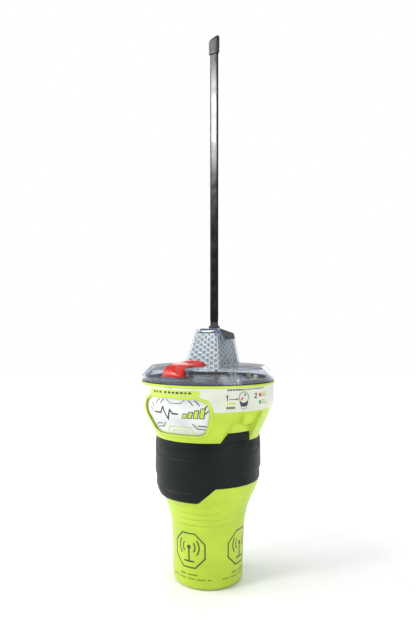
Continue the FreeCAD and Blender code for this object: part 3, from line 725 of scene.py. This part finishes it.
@dataclass
class HullShell:
    """Lime moulded hull: a waisted cup whose flank steps in under four waved ledges.

    Each ledge is (height at the front lobe, half width of the lobe, height at the sides, bearing
    where the side height is reached), mm and degrees.
    """

    ledges: Sequence[tuple[float, float, float, float]] = ((66.7, 26, 70.8, 42), (61.1, 39, 64.6, 52),
                                                            (56.2, 50, 59.0, 64), (51.3, 90, 51.3, 91))
    ledge_depth: float = 0.6
    ledge_bevel: float = 0.3
    wall: float = 2.4
    floor: float = 3.0
    columns: int = 180
    mark_height: float = 31.0
    mark_radius: float = 14.5

    def ledge_height(self, ledge: tuple[float, float, float, float], bearing: float) -> float:
        """Return a ledge's height at a bearing, the same on the front and the rear."""
        low, low_end, high, high_start = ledge
        off_front = abs((bearing + 90) % 180 - 90)
        return low + (high - low) * ease(off_front, low_end, high_start)

    def column(self, outside: Surface, bearing: float, top: float) -> list[Flat]:
        """Return one column's (radius, height) pairs, up the outside and down the inside.

        Args:
            outside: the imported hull's surface.
            bearing: where the column stands.
            top: the hull's top height.

        Returns:
            The pairs in order.
        """
        heights = [0.15, 0.5, 1.0, 1.9, 3.2, 5.0, 9, 15, 22, 30, 38, 46]
        pairs = [(outside.radius_at(bearing, z), z) for z in heights]
        pairs.insert(0, (pairs[0][0] - 0.5, 0.0))
        for ledge in reversed(self.ledges):
            z = self.ledge_height(ledge, bearing)
            for drop, share in ((3.3, 0.0), (1.6, 0.5), (self.ledge_bevel, 1.0), (0.0, 0.0)):
                pairs.append((outside.radius_at(bearing, z - drop) - share * self.ledge_depth, z - drop))
        pairs += [(outside.radius_at(bearing, z), z) for z in (74, 79, 84, 90, top - 0.1)]
        inner = [(radius - self.wall, max(z, self.floor)) for radius, z in pairs if z > self.floor]
        return pairs + inner[::-1]

    def build(self) -> None:
        """Make the hull and its printed marks."""
        outside = Surface(["hull"], Facing.ROUND, 30.0)
        top = node_box("hull")[1].z
        columns = [self.column(outside, 360 * i / self.columns, top) for i in range(self.columns)]
        rows = [[at_bearing(columns[i][row][0], 360 * i / self.columns, columns[i][row][1])
                 for i in range(self.columns)] for row in range(len(columns[0]))]
        vertices, faces = ring_grid(rows)
        hull = make_piece("hull_moulding", vertices, faces, Finish.LIME, Body.CASE, 28)
        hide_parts("hull")
        for index, bearing in enumerate((0, 90, 180, 270)):
            self.print_mark(f"hull_mark_{index + 1}", bearing)

    def print_mark(self, name: str, bearing: float) -> None:
        """Print a generic radio beacon sign: a ring, a mast and spreading arcs, over rows of dashes.

        Args:
            name: the piece's name.
            bearing: where its middle lies.
        """
        surface = Surface(["hull"], Facing.ROUND, 29.2, bearing)
        art = Artwork()
        z, radius = self.mark_height, self.mark_radius
        sides = [math.radians(45 * i + 22.5) for i in range(8)]
        art.line([(radius * math.cos(a), z + radius * math.sin(a)) for a in sides], 1.1, True)
        art.line([(0, z - 8.5), (0, z + 1)], 1.3)
        art.line([(-4.2, z - 8.5), (4.2, z - 8.5)], 1.3)
        art.disc((0, z + 2.6), 1.7)
        for radius in (5.4, 8.8):
            art.arc((0, z + 2.6), radius, -38, 38, 1.1)
            art.arc((0, z + 2.6), radius, 142, 218, 1.1)
        for row, (height, count, length) in enumerate(((11.6, 9, 1.5), (8.4, 22, 1.15))):
            pitch = length + 0.55
            for i in range(count):
                if i % 5 == 3 + row:
                    continue
                middle = (i - (count - 1) / 2) * pitch
                art.bar(middle - length / 2, middle + length / 2, height, height + 1.0 - 0.2 * row)
        piece = art.lay(name, surface, Finish.MARKS, 0.03)


@dataclass
class GripBand:
    """Black rubber grip: a sleeve, deeper on its -X flank, with a bevelled lip and a tucked top edge.

    The edges are (angle off the +X side, height) pairs in degrees and millimetres, the same on the
    front and on the rear.
    """

    lower: Sequence[Flat] = ((0, 83.0), (50.6, 83.0), (52.2, 82.4), (69.4, 71.2), (72.5, 70.5), (90, 70.5),
                             (109, 70.0), (146, 67.6), (180, 67.6))
    ridge: Sequence[Flat] = ((0, 93.4), (45.5, 93.4), (48.5, 92.6), (72.5, 80.3), (109.5, 79.6), (122, 86.0),
                             (146, 90.2), (180, 93.0))
    lip_bevel: float = 1.5
    tab_bottom: float = 117.5
    tab_bearing: float = 43.3
    notch_bearing: float = 51.4
    side_tab: float = 10.2
    top: float = 124.6
    panel_step: float = 0.3
    neck_from: float = 88.0
    flank_bulge: float = 1.15
    columns: int = 240

    def off_side(self, bearing: float) -> float:
        """Return how many degrees a bearing lies off the +X side."""
        return abs((bearing - 90 + 180) % 360 - 180)

    def lower_edge(self, bearing: float) -> float:
        """Return the lower edge's height at a bearing."""
        return along(self.lower, self.off_side(bearing))

    def lip(self, bearing: float) -> float:
        """Return the height of the lip's sharp ridge at a bearing."""
        return along(self.ridge, self.off_side(bearing))

    def upper_edge(self, bearing: float) -> float:
        """Find the upper edge, which is lower under the tabs.

        Args:
            bearing: where to look, degrees.

        Returns:
            The edge's height.
        """
        off_front = abs((bearing + 90) % 180 - 90)
        if off_front > 90 - self.side_tab:
            return self.tab_bottom - 0.05
        return along(((self.tab_bearing, self.tab_bottom - 0.05), (self.notch_bearing, self.top)), off_front)

    def panel_line(self, bearing: float) -> float:
        """Find the shallow step that echoes the tabs above it.

        Args:
            bearing: where to look, degrees.

        Returns:
            The step's height.
        """
        off_front = abs((bearing + 90) % 180 - 90)
        points = ((0, 104.2), (31, 104.2), (37, 106.0), (44, 112.5), (49, 116.4), (54, 117.6), (74, 117.6),
                  (78, 115.5), (83, 108.0), (90, 107.0))
        return along(points, off_front)

    def column(self, core: Surface, bearing: float) -> list[Flat]:
        """Return one column's (radius, height) pairs, right round the rubber's section.

        Args:
            core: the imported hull's surface under the rubber.
            bearing: where the column stands.

        Returns:
            The pairs in order, starting at the inner lower edge.
        """
        low, ridge, high = self.lower_edge(bearing), self.lip(bearing), self.upper_edge(bearing)
        panel = self.panel_line(bearing)

        def inner(z: float) -> float:
            """Return the hull's radius at a height."""
            return core.radius_at(bearing, min(z, self.neck_from))

        def outer(z: float) -> float:
            """Return the full rubber's radius at a height."""
            return inner(z) + 1.75 - 0.7 * ease(z, 112.0, 116.0)

        lower_face, deep = ridge - self.lip_bevel, ease(-low, -75.0, -70.0)
        pairs = [(inner(low) + 0.02, low), (inner(low) + 0.45, low), (inner(low) + 0.66, low + 0.3)]
        for share in (0.12, 0.3, 0.55, 0.8, 1.0):
            z = low + (lower_face - low) * share
            bulge = self.flank_bulge * deep * math.sin(math.pi * min(share + 0.25, 1.0))
            pairs.append((inner(z) + 0.85 + bulge, z))
        pairs += [(outer(ridge) - 0.06, ridge - 0.12), (outer(ridge), ridge + 0.12)]
        for share in (0.25, 0.5, 0.75):
            z = ridge + (panel - ridge) * share
            pairs.append((outer(z), z))
        pairs += [(outer(panel), panel - 0.35), (outer(panel) - self.panel_step, panel + 0.1)]
        rise = max(high - panel, 1.0)
        for share in (0.2, 0.4, 0.6, 0.8):
            z = panel + rise * share
            pairs.append((outer(z) - self.panel_step * 0.8, z))
        pairs += [(outer(high) - 0.25, high - 0.25), (outer(high) - 0.5, high), (inner(high) + 0.02, high)]
        return pairs

    def build(self) -> None:
        """Make the grip."""
        core = Surface(["hull"], Facing.ROUND, 41.5)
        bearings = [360 * i / self.columns for i in range(self.columns)]
        for middle in (90, 270):
            for side in (-self.side_tab, self.side_tab):
                bearings += [middle + side - 0.06, middle + side + 0.06]
        bearings.sort()
        columns = [self.column(core, bearing) for bearing in bearings]
        rows = [[at_bearing(column[row][0], bearing, column[row][1])
                 for column, bearing in zip(columns, bearings)] for row in range(len(columns[0]))]
        vertices, faces = ring_grid(rows + rows[:1], False)
        grip = make_piece("grip_sleeve", vertices, faces, Finish.GRIP, Body.CASE, 24)
        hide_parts("grip_band")


# ---------------------------------------------------------------- collar, label and badges


@dataclass
class CollarPrint:
    """The printed label round the collar and the generic signs on its two badges."""

    radius: float = 54.2

    def build(self) -> None:
        """Print both halves of the label and both badges."""
        dress("wrap_label", Finish.LABEL)
        for half, bearing, facing in (("front", 0, Facing.FRONT), ("rear", 180, Facing.REAR)):
            surface = Surface(["wrap_label", "collar"], Facing.ROUND, self.radius, bearing)
            self.print_strip(half, surface)
            self.print_steps(half, surface)
            self.print_badge(half, facing)

    def print_strip(self, half: str, surface: Surface) -> None:
        """Print the lime name strip with a row of blocks, and the pointer under the slide.

        Args:
            half: front or rear, for the names.
            surface: what it lies on.
        """
        strip = Artwork()
        strip.bar(-21.3, 23.2, 154.4, 158.1)
        strip.shape([(-1.9, 159.7), (0, 158.5), (1.9, 159.7)])
        strip.lay(f"label_{half}_strip", surface, Finish.LIME_INK, 0.03)
        blocks = Artwork()
        start = -17.0
        for width in (2.1, 1.6, 2.1, 0, 2.3, 2.3, 1.8, 2.3, 2.1, 1.6, 2.1):
            if width:
                blocks.bar(start, start + width, 155.5, 157.0)
            start += width + 1.35
        blocks.lay(f"label_{half}_blocks", surface, Finish.INK, 0.09)

    def print_steps(self, half: str, surface: Surface) -> None:
        """Print the numbered steps: a small picture of the beacon with an arrow, then the two buttons.

        Args:
            half: front or rear, for the names.
            surface: what it lies on.
        """
        first, picture, second, dots = 43.5, 57.0, 68.5, 73.4
        steps, limes, reds, greens = Artwork(), Artwork(), Artwork(), Artwork()
        for i in range(16):
            height = 0.55 if i < 6 else 0.32
            steps.bar(first + 2.15 * i, first + 2.15 * i + 1.7, 158.5 - height, 158.5 + height)
        steps.line([(first - 0.8, 153.9), (first + 0.2, 154.6), (first + 0.2, 151.0)], 0.8)
        steps.line([(first + 1.8, 151.7), (picture - 6.2, 151.7)], 0.55)
        steps.shape([(picture - 6.4, 152.6), (picture - 6.4, 150.8), (picture - 4.5, 151.7)])
        steps.arc((picture, 152.7), 4.1, 0, 360, 0.45)
        steps.shape([(picture + x, z) for x, z in ((0.2, 154.2), (1.4, 153.6), (1.9, 155.0), (0.8, 155.5))])
        steps.shape([(picture + x, z) for x, z in ((-3.0, 146.7), (0, 145.7), (3.0, 146.7), (3.9, 150.0),
                                                   (0, 148.6), (-3.9, 150.0))])
        steps.line([(picture + x, z) for x, z in ((-2.4, 146.3), (-1.6, 144.2), (1.6, 144.2), (2.4, 146.3))],
                   0.35)
        steps.line([(second + x, z) for x, z in ((-1.2, 154.2), (-0.5, 155.0), (0.6, 155.0), (1.1, 154.1),
                                                 (-1.1, 151.7), (1.3, 151.7))], 0.75)
        for target, low, high in ((steps, 144.7, 146.3), (limes, 147.7, 149.5)):
            for i in range(4):
                target.bar(first - 0.6 + 1.75 * i, first + 0.75 + 1.75 * i, low, high)
        for height, count in ((153.6, 3), (148.1, 2)):
            for i in range(count):
                limes.bar(dots + 2.6 + 1.8 * i, dots + 4.0 + 1.8 * i, height + 0.3, height + 1.9)
            steps.line([(dots + 2.4, height - 0.9), (dots + 8.6, height - 0.9)], 0.35)
        for i in range(4):
            steps.bar(-first - 12 + 3.2 * i, -first - 9.5 + 3.2 * i, 156.2, 157.3)
            steps.line([(-first - 12, 154.0 - 2.5 * i), (-first - 4 + i, 154.0 - 2.5 * i)], 0.35)
        reds.disc((dots, 153.6), 1.55)
        slide = ((-2.9, 151.0), (-1.7, 150.4), (-0.3, 152.4), (-1.4, 153.1))
        reds.shape([(picture + x, z) for x, z in slide])
        greens.disc((dots, 148.1), 1.55)
        for name, art, ink, slot, lift in (("steps", steps, Finish.INK, "black_moulding", 0.03),
                                           ("lime", limes, Finish.LIME_INK, "lime_shell", 0.03),
                                           ("red", reds, Finish.RED_INK, "red_moulding", 0.08),
                                           ("green", greens, Finish.GREEN_INK, "board_laminate", 0.03)):
            art.lay(f"label_{half}_{name}", surface, ink, lift)

    def print_badge(self, half: str, facing: Facing) -> None:
        """Print a badge: dashes round its corners, outlined bars, and a plain pulse with level bars.

        Args:
            half: front or rear, for the names.
            facing: which way it faces.
        """
        surface = Surface([f"{half}_badge"], facing)
        middle = 3.0
        art, bars = Artwork(), Artwork()
        corner_lines = (
            ((10.6, 150.6), (12.2, 149.7), (13.8, 147.4)), ((15.0, 150.6), (16.6, 149.7), (18.6, 147.2)),
            ((24.0, 147.4), (22.6, 146.0), (21.2, 144.3)), ((25.6, 143.8), (24.2, 143.0), (22.2, 140.9)),
            ((15.4, 131.6), (20.4, 131.2), (22.0, 130.2)), ((11.8, 132.8), (14.4, 129.2), (21.4, 128.3)))
        for side in (-1, 1):
            for points in corner_lines:
                art.line([(middle + side * x, z) for x, z in points], 0.75)
        crest = ((-7.6, 150.8), (-4.4, 148.2), (4.4, 148.2), (7.6, 150.8))
        art.line([(middle + x, z) for x, z in crest], 0.5)
        pulse = ((-20.5, 140.4), (-13.8, 140.4), (-11.4, 145.2), (-7.6, 135.6), (-4.6, 143.4), (-2.6, 140.4),
                 (2.0, 140.4))
        art.line([(middle + x, z) for x, z in pulse], 1.25)
        for i in range(4):
            x, top = middle + 5.2 + 4.3 * i, 140.6 + 1.35 * i
            art.shape([(x - 0.5, 137.2), (x + 3.1, 137.2), (x + 4.9, top + 0.6), (x + 1.3, top + 0.6)])
            bars.shape([(x + 0.2, 137.8), (x + 2.6, 137.8), (x + 4.1, top), (x + 1.7, top)])
        for half_top, half_low, high, low in ((8.2, 11.6, 130.2, 125.6), (5.2, 7.4, 127.2, 124.6)):
            bars.line([(middle - half_low, low), (middle - half_top, high), (middle + half_top, high),
                       (middle + half_low, low)], 0.55)
        art.lay(f"{half}_badge_print", surface, Finish.INK, 0.03)
        bars.lay(f"{half}_badge_lime", surface, Finish.LIME_INK, 0.09)


# ---------------------------------------------------------------- light tower


@dataclass
class LightTower:
    """Honeycomb reflector: a closed wall that follows the tower, with six-sided cells sunk in its outside.

    The tower's rounded section shrinks evenly from its foot to its head, so a section is read at any
    height. All lengths are millimetres.
    """

    foot: tuple[float, float, float, float] = (17.3, -10.8, 26.7, 173.6)
    head: tuple[float, float, float, float] = (10.6, -4.0, 26.4, 204.0)
    corner: float = 3.6
    inset: float = 1.85
    wall: float = 1.0
    cell_depth: float = 0.62
    column_pitch: float = 3.65
    row_pitch: float = 4.22
    ridge: float = 0.95
    bottom: float = 171.3
    front_top: float = 199.8
    rear_top: float = 194.5
    rear_from: float = 1.2
    row_step: float = 0.3
    columns: int = 360

    def section(self, share: float, height: float, inset: float) -> tuple[Point, float]:
        """Return a point of the tower's rounded section and the section's girth.

        Args:
            share: how far round it lies, 0 to 1 from the middle of the front towards +X.
            height: the section's height.
            inset: how far inside the tower's outside.

        Returns:
            The point in millimetres and the girth.
        """
        rise = (height - self.foot[3]) / (self.head[3] - self.foot[3])
        half, front, rear = (a + (b - a) * rise for a, b in zip(self.foot[:3], self.head[:3]))
        half, front, rear = half - inset, front + inset, rear - inset
        corner = max(self.corner - inset, 0.6)
        flat_x, flat_y = half - corner, (rear - front) / 2 - corner
        middle = (front + rear) / 2
        bend = math.pi / 2 * corner
        runs = (flat_x, bend, 2 * flat_y, bend, 2 * flat_x, bend, 2 * flat_y, bend, flat_x)
        girth = sum(runs)
        rest = share * girth
        index = 0
        while index < 8 and rest > runs[index]:
            rest -= runs[index]
            index += 1
        turn = rest / corner
        sx, cx = corner * math.sin(turn), corner * math.cos(turn)
        places = (
            (rest, -flat_y - corner), (flat_x + sx, -flat_y - cx), (flat_x + corner, -flat_y + rest),
            (flat_x + cx, flat_y + sx), (flat_x - rest, flat_y + corner), (-flat_x - sx, flat_y + cx),
            (-flat_x - corner, flat_y - rest), (-flat_x - cx, -flat_y - sx),
            (-flat_x + rest, -flat_y - corner))
        x, y = places[index]
        return (x, y + middle, height), girth

    def cell_share(self, across: float, height: float) -> float:
        """Find how deep in a cell a place on the unrolled wall lies.

        Args:
            across: how far round the wall, mm.
            height: its height, mm.

        Returns:
            0 on a ridge, 1 on a cell's floor.
        """
        column = round(across / self.column_pitch)
        nearest = 9.0
        for near in (column - 1, column, column + 1):
            x = across - near * self.column_pitch
            shift = self.row_pitch / 2 * (near % 2)
            z = (height - self.bottom - shift + self.row_pitch / 2) % self.row_pitch - self.row_pitch / 2
            away = max(abs(z), abs(z) / 2 + abs(x) * math.sqrt(3) / 2)
            nearest = min(nearest, away)
        edge = self.row_pitch / 2 - self.ridge / 2
        return 1.0 - ease(nearest, edge - 0.35, edge)

    def build(self) -> None:
        """Make the reflector, white on its ridges, with painted shade in grey on the floors of its cells."""
        step = self.row_step
        columns = self.columns
        whole = 2 * round(self.section(0, 185, self.inset)[1] / self.column_pitch / 2)
        rows: list[list[Point]] = []
        sunk: list[list[bool]] = []
        count = int((self.front_top - self.bottom) / step)
        for level in range(count + 1):
            row, deep = [], []
            for i in range(columns):
                share = i / columns
                foot_point = self.section(share, self.bottom, self.inset)[0]
                top = self.front_top if foot_point[1] < self.rear_from else self.rear_top
                height = self.bottom + (top - self.bottom) * level / count
                depth = self.cell_share(share * whole * self.column_pitch, height) * self.cell_depth
                edge = min(height - self.bottom, top - height)
                if edge < 0.5:
                    depth = 0.0
                row.append(self.section(share, height, self.inset + depth)[0])
                deep.append(depth > 0.45 * self.cell_depth)
            rows.append(row)
            sunk.append(deep)
        tops = [point[2] for point in rows[-1]]
        inner = self.inset + self.wall
        rows.append([self.section(i / columns, tops[i], inner)[0] for i in range(columns)])
        rows.append([self.section(i / columns, self.bottom, inner)[0] for i in range(columns)])
        metres_rows = [[tuple(metres(value) for value in point) for point in row] for row in rows]
        vertices, faces = ring_grid(metres_rows + metres_rows[:1], False)
        comb = make_piece("honeycomb_reflector", vertices, faces, Finish.COMB, Body.CASE, 30)
        # Painted shade: faces on the cell floors take the grey second finish in place of the shade that falls
        # there.
        comb.data.materials.append(Finish.CELLS.material)
        for face in comb.data.polygons[:count * columns]:
            row, column = divmod(face.index, columns)
            if sunk[row][column] and sunk[row + 1][(column + 1) % columns]:
                face.material_index = 1
        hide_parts("reflector")


# ---------------------------------------------------------------- thumb slide


@dataclass
class ThumbSlide:
    """Red thumb slide: a crowned pad that falls to its sides, with a dip and a raised lip at the rear."""

    half_width: float = 8.95
    rear_corner: float = 2.4
    roof: float = 173.95
    skirt_inner: float = 49.2
    inner_radius: float = 19.65
    left_edge: Sequence[Flat] = ((-53.35, 168.6), (-52.4, 171.2), (-50, 173.8), (-47.5, 175.2), (-43, 176.6),
                                 (-38.8, 177.4), (-28, 178.1), (-19, 178.7))
    crown: Sequence[Flat] = ((-53.35, 168.6), (-52.7, 170.6), (-51.4, 172.6), (-49.4, 174.5), (-46.8, 175.7),
                             (-43.5, 176.6), (-40, 177.0), (-36, 176.8), (-31, 176.0), (-28, 175.7),
                             (-25.5, 176.3), (-23, 177.7), (-21, 178.5), (-19, 178.7))
    side_fall: Sequence[Flat] = ((-53.2, 0.6), (-51.5, 3.9), (-49, 4.0), (-47, 3.0), (-44, 2.2), (-40, 2.2),
                                 (-34, 2.0), (-28, 1.7), (-23, 2.2), (-19, 2.4))
    columns: int = 40
    rows: int = 70

    def build(self) -> None:
        """Make the pad."""
        low = node_box("thumb_cap")[0]
        front, bottom = low.y + 0.02, low.z
        outer_radius = -front
        vertices: list[Point] = []

        def top(x: float, y: float) -> float:
            """Find the pad's top.

            Args:
                x: distance from the middle line.
                y: distance behind the beacon's axis.

            Returns:
                The pad's height there.
            """
            share = abs(x) / self.half_width
            radial = -math.hypot(x, y)
            rounding = 0.9 * max(0.0, (share - 0.84) / 0.16) ** 2
            back = 1.2 * ease(radial, -self.inner_radius - 1.3, -self.inner_radius)
            height = smooth_along(self.crown, radial)
            if x > 0:
                height -= along(self.side_fall, radial) * share ** 2.2
            else:
                height += (along(self.left_edge, radial) - height) * share ** 1.6
            return max(height - rounding - back, underside(x, y) + 0.25)

        def underside(x: float, y: float) -> float:
            """Return the height of the pad's underside: a deep skirt in front, clear of the cap behind."""
            radial = math.hypot(x, y)
            return along(((self.skirt_inner, self.roof), (self.skirt_inner + 0.3, bottom + 0.1)), radial)

        def edge(x: float) -> tuple[float, float]:
            """Return the front and rear ends of the pad at a distance from its middle line."""
            corner = max(0.0, abs(x) - (self.half_width - self.rear_corner))
            bite = self.rear_corner - math.sqrt(max(self.rear_corner ** 2 - corner ** 2, 0.0))
            return -math.sqrt(outer_radius ** 2 - x ** 2), -math.sqrt(self.inner_radius ** 2 - x ** 2) - bite

        for skin in (top, underside):
            for j in range(self.rows + 1):
                share = j / self.rows
                share -= 0.18 * math.sin(math.tau * share) / math.tau
                for i in range(self.columns + 1):
                    x = self.half_width * math.sin(math.pi / 2 * (2 * i / self.columns - 1))
                    start, end = edge(x)
                    y = start + (end - start) * share
                    vertices.append((metres(x), metres(y), metres(skin(x, y))))
        across, size = self.columns + 1, (self.rows + 1) * (self.columns + 1)
        faces: list[list[int]] = []
        for j in range(self.rows):
            for i in range(self.columns):
                a = j * across + i
                faces.append([a, a + 1, a + across + 1, a + across])
                faces.append([size + a + across, size + a + across + 1, size + a + 1, size + a])
        rim = list(range(across))
        rim += [j * across + self.columns for j in range(1, self.rows + 1)]
        rim += [self.rows * across + i for i in range(self.columns - 1, -1, -1)]
        rim += [j * across for j in range(self.rows - 1, 0, -1)]
        for here, after in zip(rim, rim[1:] + rim[:1]):
            faces.append([size + here, size + after, after, here])
        pad = make_piece("thumb_pad", vertices, faces, Finish.RED, Body.COVER, 40)
        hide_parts("thumb_cap")


# ---------------------------------------------------------------- whip antenna


@dataclass
class Whip:
    """Flat whip: a sleeved blade with rounded long edges, and a moulded cap with a slanted top."""

    half_width: float = 3.95
    half_thick: float = 0.58
    tip_half: float = 4.85
    tip_thick: float = 1.45
    tip_length: float = 14.9
    slant: float = 3.2
    notch: float = 1.0
    sides: int = 28

    def lens(self, half_width: float, half_thick: float, height: float, middle_y: float) -> list[Point]:
        """Return one row of the flat section, thin at its two long edges.

        Args:
            half_width: half the section's width.
            half_thick: half its thickness in the middle.
            height: the row's height.
            middle_y: the section's middle.

        Returns:
            The row's points in metres.
        """
        row = []
        for i in range(self.sides):
            angle = math.tau * i / self.sides
            x = half_width * math.copysign(abs(math.cos(angle)) ** 0.72, math.cos(angle))
            y = half_thick * math.copysign(abs(math.sin(angle)) ** 0.55, math.sin(angle))
            row.append((metres(x), metres(middle_y + y), metres(height)))
        return row

    def build(self) -> None:
        """Make the blade and its tip cap."""
        low, high = node_box("antenna_blade")
        middle = (low.y + high.y) / 2
        neck = 7.0
        rows = []
        count = 60
        for level in range(count + 1):
            share = level / count
            height = low.z + (high.z - low.z) * share
            width = self.half_width * (0.72 + 0.28 * ease(height, low.z + neck * 0.4, low.z + neck * 1.5))
            rows.append(self.lens(width, self.half_thick, height, middle))
        vertices, faces = ring_grid(rows)
        blade = make_piece("whip_blade", vertices, faces, Finish.WHIP, Body.ANTENNA, 40)
        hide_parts("antenna_blade")
        top = node_box("antenna_tip")[1].z - 0.05
        bottom = top - self.tip_length
        waist = 1.0 - self.notch / 9
        steps = ((0.0, 0.9), (0.25, 0.97), (0.7, 1.0), (3.0, 1.0), (3.1, waist), (3.9, waist), (4.0, 1.0),
                 (8.0, 1.0), (12.4, 1.0), (13.8, 0.97), (14.5, 0.9), (14.9, 0.78))
        rows = []
        for rise, width in steps:
            thick = self.tip_thick * (0.94 if width < 0.95 else 1.0)
            row = self.lens(self.tip_half * width, thick, bottom + rise, middle)
            lean = ease(rise, 5.0, self.tip_length)
            rows.append([(x, y, z - metres(lean * self.slant) * (0.5 - x / metres(2 * self.tip_half)))
                         for x, y, z in row])
        vertices, faces = ring_grid(rows)
        cap = make_piece("whip_tip", vertices, faces, Finish.TIP, Body.ANTENNA, 40)
        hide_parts("antenna_tip")


# ---------------------------------------------------------------- studio


@dataclass
class Studio:
    """White studio: a pale floor that fades into the backdrop, soft boxes and the camera."""

    camera_place: Point = (0.2276, -0.3789, 0.201)
    camera_turn: float = 31.0
    lens: float = 30.87
    rise: float = 0.032
    floor_radius: float = 2.4

    def build(self) -> None:
        """Make the floor, the world, the lights and the camera."""
        self.make_floor()
        self.make_world()
        self.make_light("key", (-1.0, -0.5, 0.7), (0, 0, 0.14), (0.7, 0.9), 8.5)
        self.make_light("strip", (-0.57, -0.95, 0.83), (0, 0, 0.385), (0.3, 0.2), 8.0)
        self.make_light("fill", (0.95, -0.35, 0.45), (0, 0, 0.12), (0.6, 1.0), 4.5)
        self.make_light("top", (0.0, 0.0, 1.25), (0, 0, 0.15), (0.9, 0.9), 5.0)
        self.make_light("rim", (-0.35, 0.95, 0.6), (0, 0, 0.15), (0.8, 0.7), 4.0)
        self.make_camera()
        bpy.context.scene.view_settings.view_transform = "Standard"

    def make_floor(self) -> None:
        """Lay the floor: matt card near the object that fades to the backdrop's white far off."""
        shape = bmesh.new()
        bmesh.ops.create_circle(shape, cap_ends=True, segments=96, radius=self.floor_radius)
        mesh = bpy.data.meshes.new("studio_floor")
        shape.to_mesh(mesh)
        shape.free()
        floor = bpy.data.objects.new("studio_floor", mesh)
        floor.location = (0, 0, metres(-0.02))
        bpy.context.scene.collection.objects.link(floor)
        material, tree, shader = blank_material("matt_backdrop_card")
        source = add_node(tree, "ShaderNodeTexCoord")
        away = add_node(tree, "ShaderNodeVectorMath", {"operation": "LENGTH"},
                        {0: source.outputs["Object"]})
        tone = mixed(tree, ramp(tree, grain(tree, 3.0), 0.3, 0.7), linear("F4F4F4"), linear("F1F1F2"))
        tree.links.new(tone, shader.inputs["Base Color"])
        tree.links.new(tone, shader.inputs["Emission Color"])
        shader.inputs["Roughness"].default_value = 0.9
        tree.links.new(ramp(tree, away.outputs["Value"], 0.16, 0.6), shader.inputs["Emission Strength"])
        mesh.materials.append(material)

    def make_world(self) -> None:
        """Fill the world with dim even light, a little darker towards the ground, behind a white backdrop."""
        world = bpy.data.worlds.new("studio_white")
        bpy.context.scene.world = world
        world.use_nodes = True
        tree = world.node_tree
        source = add_node(tree, "ShaderNodeTexCoord")
        parts = add_node(tree, "ShaderNodeSeparateXYZ", {}, {0: source.outputs["Generated"]})
        light = mixed(tree, ramp(tree, parts.outputs["Z"], -0.5, 0.5), linear("6E6E70"), linear("A4A5A8"))
        seen = add_node(tree, "ShaderNodeLightPath").outputs["Is Camera Ray"]
        background = tree.nodes["Background"]
        tree.links.new(mixed(tree, seen, light, linear("FFFFFF")), background.inputs["Color"])
        background.inputs["Strength"].default_value = 1.0

    def make_light(self, name: str, place: Point, target: Point, size: Flat, power: float) -> None:
        """Hang one soft box.

        Args:
            name: the light's name.
            place: where it hangs, metres.
            target: what it points at, metres.
            size: its width and height, metres.
            power: its output, watts.
        """
        data = bpy.data.lights.new(f"soft_box_{name}", "AREA")
        data.shape = "RECTANGLE"
        data.size, data.size_y = size
        data.energy = power
        light = bpy.data.objects.new(f"soft_box_{name}", data)
        light.location = place
        aim = Vector(target) - Vector(place)
        light.rotation_mode = "QUATERNION"
        light.rotation_quaternion = aim.to_track_quat("-Z", "Y")
        bpy.context.scene.collection.objects.link(light)

    def make_camera(self) -> None:
        """Set up the camera: level, with its lens shifted upwards."""
        data = bpy.data.cameras.new("camera")
        data.lens = self.lens
        data.sensor_width = 36.0
        data.shift_y = self.rise
        camera = bpy.data.objects.new("camera", data)
        camera.location = self.camera_place
        camera.rotation_euler = (math.radians(90), 0, math.radians(self.camera_turn))
        bpy.context.scene.collection.objects.link(camera)
        bpy.context.scene.camera = camera


# ---------------------------------------------------------------- the whole beacon


@dataclass
class Fittings:
    """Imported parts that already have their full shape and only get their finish."""

    worn: Sequence[tuple[Finish, Sequence[str]]] = (
        (Finish.LIME, ("collar",)),
        (Finish.SEAL, ("neck_seal", "cap_seal")),
        (Finish.STEEL, ("neck_screws", "water_contacts", "lanyard_eye", "cap_screws", "patch_tray",
                        "antenna_pin", "screening_cans", "battery_straps")),
        (Finish.SPRING, ("on_spring", "test_spring", "detent_spring")),
        (Finish.BRASS, ("patch_pin", "antenna_lead")),
        (Finish.FOIL, ("front_badge", "rear_badge")),
        (Finish.NAVY, ("deck_plate",)),
        (Finish.CLEAR, ("lens_cap", "slide_carrier")),
        (Finish.LAMINATE, ("light_board", "radio_board", "logic_board")),
        (Finish.LIGHT, ("strobe_lights", "side_lights")),
        (Finish.CERAMIC, ("satellite_patch",)),
        (Finish.BUTTON, ("on_button", "test_button")),
        (Finish.BLACK, ("slide_rail", "button_bezel", "antenna_knuckle", "chassis_frame", "board_parts",
                        "battery_tray")),
        (Finish.SADDLE, ("antenna_saddle",)),
        (Finish.GASKET, ("saddle_gasket",)),
        (Finish.CELL_CAN, ("battery_cells",)),
    )

    def build(self) -> None:
        """Dress each part in its finish."""
        for finish, nodes in self.worn:
            for node in nodes:
                dress(node, finish)


def main() -> None:
    """Build the studio and the beacon, class by class."""
    logging.basicConfig(level=logging.INFO, format="%(name)s: %(message)s")
    for assembly in (Studio, Fittings, HullShell, GripBand, CollarPrint, LightTower, ThumbSlide, Whip):
        assembly().build()


if __name__ == "__main__":
    main()
    bpy.context.view_layer.update()
